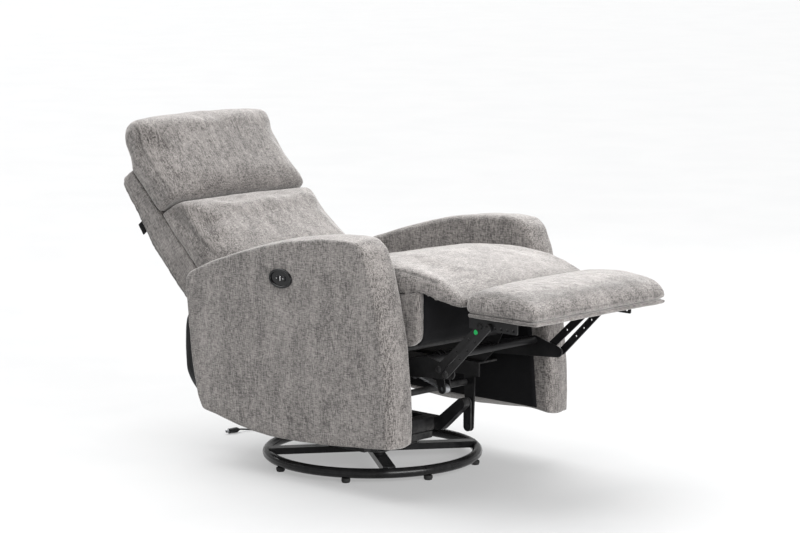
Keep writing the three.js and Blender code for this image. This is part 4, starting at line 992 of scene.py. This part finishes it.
for word, sign in SIDES:
    rings = [panel_ring(PANEL_INNER, INNER_EDGE, t) for t in (0.95, 0.8, 0.65, 0.5, 0.36, 0.22, 0.1)]
    rings += [panel_ring(PANEL_INNER + INNER_EDGE * over, INNER_EDGE * inset) for over, inset in quarter(4)]
    rings += [panel_ring(BOX_HALF - OUTER_EDGE * over, OUTER_EDGE * inset) for over, inset in quarter(5, True)]
    rings += [panel_ring(BOX_HALF + 0.8 * t, OUTER_EDGE, t)
              for t in (0.04, 0.1, 0.17, 0.26, 0.37, 0.5, 0.64, 0.8, 0.94)]
    piece = placed("seat_side_" + word, skin("seat_side_" + word, [ring * (sign, 1, 1) for ring in rings]))
    x, y, z = chair_columns(piece)
    sewn(piece, [(off_side(x, 242.5), 1.6, 2.4, ease(-y, 396, 404))], 0.8, 80, 41 + sign)
    finished(piece, "upholstery", "seat", ["seat_box"])

for name, seed, outline in (
    ("seat_front_rail", 51, [
        (-416.5, 543), (-416.5, 436), (-408, 410), (-394.8, 398.2), (-394.8, 470), (-394.8, 540.4)]),
    ("seat_rear_rail", 53, [(106.4, 345.5), (129.4, 341), (129.4, 443.8), (106.4, 447.5)]),
):
    loop = smoothed_loop(outline, 2.5, 5.0)
    piece = placed(name, skin(name, [ring_at(x, loop) for x in np.linspace(-238.0, 238.0, 61)]))
    sewn(piece, [], 0.7, 70, seed)
    finished(piece, "black_lining", "seat", ["seat_box"])


# Ottoman board: a thin padded flange

board_loop = smoothed_loop([
    (-811.6, 503), (-810, 508.2), (-780, 508.6), (-600, 508.6), (-587, 508.2), (-583.4, 503), (-587, 498),
    (-600, 497.3), (-780, 497.3), (-808, 498),
], 1.6, 3.0)
board_normals = loop_normals(board_loop)
BOARD_MIDDLE_Y = -697.0
# Near each end: x, how far the outline is drawn in, and its share of the way to the middle
BOARD_ENDS = [(261.4, 5.6, 0.8), (261.2, 5.0, 0), (260.2, 3.4, 0), (258.0, 1.4, 0), (254.0, 0.2, 0),
              (248.0, -0.4, 0)]
stations = [(-x, amount, toward) for x, amount, toward in BOARD_ENDS]
stations += [(x, 0.0, 0.0) for x in np.linspace(-236, 236, 110)] + BOARD_ENDS[::-1]
rings = []
for x, amount, toward in stations:
    loop = board_loop - board_normals * amount
    loop[:, 0] += (BOARD_MIDDLE_Y - loop[:, 0]) * toward
    rings.append(ring_at(x, loop))
board = placed("ottoman_flange", skin("ottoman_flange", rings))
x, y, z = chair_columns(board)
sewn(board, [(np.abs(z - 503.5) + 3 * np.maximum(0, 257 - np.abs(x)), 0.8, 1.6, 1.0)], 0.45, 60, 61)
finished(board, "upholstery", "ottoman", ["ottoman_board"])


# Rear flap: slack cloth from the back's lower edge to the rear rail

FLAP_SHARES = [
    (0.919, 0.975), (0.964, 0.915), (0.991, 0.8), (1, 0.56), (0.982, 0.3), (0.896, 0.178), (0.778, 0.079),
    (0.647, 0.028), (0.488, 0), (0.171, 0.012), (0.08, 0.052),
]
FLAP_END_Y, FLAP_SAG_Y, FLAP_LOW_Z, FLAP_WIDTH, FLAP_COLUMNS = 262.3, 229, 147, 498, 84
# It starts just below two points of the shell's underside, the second its rear corner.
FLAP_START, FLAP_BELOW = (on_back(0, 248.616, 76.07125), on_back(0, 268, 84)), 3.2
flap_line = [(p.y / MM - SWIVEL_Y, p.z / MM - FLAP_BELOW) for p in FLAP_START]
flap_drop = flap_line[1][1] - FLAP_LOW_Z
flap_line += [(FLAP_END_Y + FLAP_SAG_Y * u, FLAP_LOW_Z + flap_drop * v) for u, v in FLAP_SHARES]
flap_line += [(FLAP_END_Y, 200), (FLAP_END_Y, 266)]
flap_dense = smoothed_line(flap_line, 9.0, 6.0)
ahead = np.gradient(flap_dense, axis=0)
ahead /= np.linalg.norm(ahead, axis=1)[:, None]
flap_marks = marks_along(flap_dense)
flap_cut = flap_marks[-1]
points = []
for offset in (0.0, 1.6):
    for (y, z), (ahead_y, ahead_z), mark in zip(flap_dense, ahead, flap_marks):
        along = mark / flap_cut
        slack = sin(pi * min(1, along * 1.02)) ** 0.6
        for j in range(FLAP_COLUMNS + 1):
            u = j / FLAP_COLUMNS
            fold = (sin(u * 17 + 5 * along) * 1.1 + sin(u * 41 - 9 * along) * 0.55
                    + sin(7 * u - 22 * along) * 0.9)
            out = -3.0 + offset + slack * (1.3 * fold * sin(pi * u) - 1.0)
            points.append(at(FLAP_WIDTH * (u - 0.5), y - ahead_z * out, z + ahead_y * out))
flap_mesh = from_lists("rear_flap_cloth", points, sheet_faces(len(flap_dense) - 1, FLAP_COLUMNS))
flap = shown("rear_flap_cloth", flap_mesh, "charcoal_cloth", None, ["rear_flap"])
# Painted shade in a line along each side of the flap, 238 mm from the middle, where it is sewn
set_attribute(flap_mesh, "seam_shade", np.exp(-((np.abs(chair_columns(flap)[0]) - 238) / 1.6) ** 2))
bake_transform(flap)


# Tag: a folded black ribbon in the shell's rear seam

TAG_ROWS = 13
fold = [(314 + 3.04 * sin(pi * k / 8), 1.3 * cos(pi * k / 8)) for k in range(9)]
ribbon = [(297.4, 1.3), (303, 1.5), (309, 1.55), *fold, (309, -1.55), (303, -1.5), (297.4, -1.3)]
points = [on_back(-249 + x, y + 0.25 * sin(k), z)
          for k, z in enumerate(np.linspace(362, 396, TAG_ROWS)) for y, x in ribbon]
tag = from_lists("seam_tag", points, ring_faces(TAG_ROWS, len(ribbon)) + end_faces(TAG_ROWS, len(ribbon)))
shown("seam_tag", tag, "black_lining", "back", ["edge_tag"])


# Mechanism details: domed rivet heads on the pins, mirrored on the right side

# Name, place, body, radius and height
RIVETS = [
    ("elbow_rear", (221.0, -451, 342), "rear_footrest_links", 7.0, 2.4),
    ("bracket_rear", (227.0, -599, 473), "ottoman", 7.0, 2.6),
    ("bracket_front", (235.4, -630, 473), "ottoman", 5.0, 2.2),
    ("torque", (215.0, -250, 320), "footrest_drive", 8.5, 2.6),
    ("elbow_front", (233.0, -486, 334.2), "front_footrest_links", 8.0, 3.0),
    ("post", (231.0, 190, 282), "seat_frame", 5.0, 2.0),
    ("glide_upper_0", (184.0, -190, 160), "swivel_frame", 7.0, 2.4),
    ("glide_upper_1", (184.0, 190, 160), "swivel_frame", 7.0, 2.4),
]
for word, sign in SIDES:
    for pin, (x, y, z), body, radius, height in RIVETS:
        name = f"rivet_{pin}_{word}"
        profile = [(radius * 1.25, 0), (radius * 1.25, 0.7), (radius, 0.8), (radius * 0.96, height * 0.45),
                   (radius * 0.8, height * 0.75), (radius * 0.5, height * 0.94), (radius * 0.2, height),
                   (0, height)]
        head = turned(name, profile, at(sign * x, y, z), (sign, 0, 0), 20)
        shown(name, head, "zinc_steel" if body == "swivel_frame" else "black_steel", body)

# Green dot of paint on the right rear footrest link
OUTWARD = (-1, 0, 0)
dot = turned("paint_dot", [(0, -0.2), (6.4, -0.2), (6.6, 0.1), (6.2, 0.35), (4.5, 0.5), (0, 0.55)],
             at(-221.0, -579, 454), OUTWARD, 28)
shown("paint_dot", dot, "black_steel", "rear_footrest_links", material=GREEN)

# Control on the right arm: a rounded rim, domed button caps, each with a bright dot as a painted highlight, and a
# bright bar between them
CONTROL_Y, CONTROL_Z, CONTROL_X = -17.0, 548.0, -366.3
RIM_HALVES, RIM_STEPS, RIM_SIDES, RIM_OUT, RIM_UP = (39.4, 22.9), 72, 14, 3.1, 1.9
points, faces = [], []
for i in range(RIM_STEPS):
    angle = 2 * pi * i / RIM_STEPS
    centre = (RIM_HALVES[0] * cos(angle), RIM_HALVES[1] * sin(angle))
    outward = Vector((centre[0] / RIM_HALVES[0] ** 2, centre[1] / RIM_HALVES[1] ** 2)).normalized()
    for j in range(RIM_SIDES):
        turn = 2 * pi * j / RIM_SIDES
        out, up = RIM_OUT * cos(turn), RIM_UP * sin(turn)
        points.append(at(CONTROL_X + 0.3 - up, CONTROL_Y + centre[0] + outward[0] * out,
                         CONTROL_Z + centre[1] + outward[1] * out))
        a, b = i * RIM_SIDES, (i + 1) % RIM_STEPS * RIM_SIDES
        k = (j + 1) % RIM_SIDES
        faces.append((a + j, b + j, b + k, a + k))
shown("control_rim", from_lists("control_rim", points, faces), "gloss_black_plastic", "seat_frame")
bar_path = [at(CONTROL_X + 1.0, CONTROL_Y, CONTROL_Z + z) for z in (-6.6, -6.3, -5.6, -3, 0, 3, 5.6, 6.3, 6.6)]
bar = tube("control_bar", bar_path, [0.0003, 0.0009, 0.0013, 0.0014, 0.0014, 0.0014, 0.0013, 0.0009, 0.0003], 12)
shown("control_bar", bar, "zinc_steel", "seat_frame", material=SILVER)
for word, y in (("close", CONTROL_Y - 12.5), ("open", CONTROL_Y + 12.5)):
    cap = turned("cap", [(6.1, 0), (6.1, 0.5), (5.4, 1.0), (3.6, 1.25), (2.2, 1.0), (1.2, 0.85), (0, 0.8)],
                 at(CONTROL_X + 0.4, y, CONTROL_Z), OUTWARD, 28)
    shown("button_cap_" + word, cap, "gloss_black_plastic", word + "_button")
    # A bright silver dot on each cap, a painted highlight where the dome catches the light
    mark = turned("mark", [(1.5, 0), (1.4, 0.3), (0.8, 0.5), (0, 0.55)],
                  at(CONTROL_X - 0.45, y, CONTROL_Z), OUTWARD, 20)
    shown("button_glint_dot_" + word, mark, "zinc_steel", word + "_button", material=SILVER)

# Plug: a knurled metal collar on its tip, and ribs round its grip
plug_axis = Vector((-1, 0.12, 0)).normalized()
plug_start = Vector(LEAD_ROUTE[-1]) + plug_axis * 0.0003
collar = turned("plug_collar", [(3.5, 38.2), (4.6, 38.4), (4.6, 39.6), (4.1, 40.0), (4.1, 44.6), (4.5, 45.0),
                                (4.4, 46.4), (3.5, 46.6)], plug_start, plug_axis)
shown("plug_collar", collar, "zinc_steel", "seat_frame")
ribs = joined("plug_ribs", [
    turned("rib", [(7.5, h), (8.0, h + 0.6), (8.0, h + 1.6), (7.5, h + 2.2)], plug_start, plug_axis)
    for h in (10.0, 13.4, 16.8, 20.2)
])
shown("plug_ribs", ribs, "black_plastic", "seat_frame")
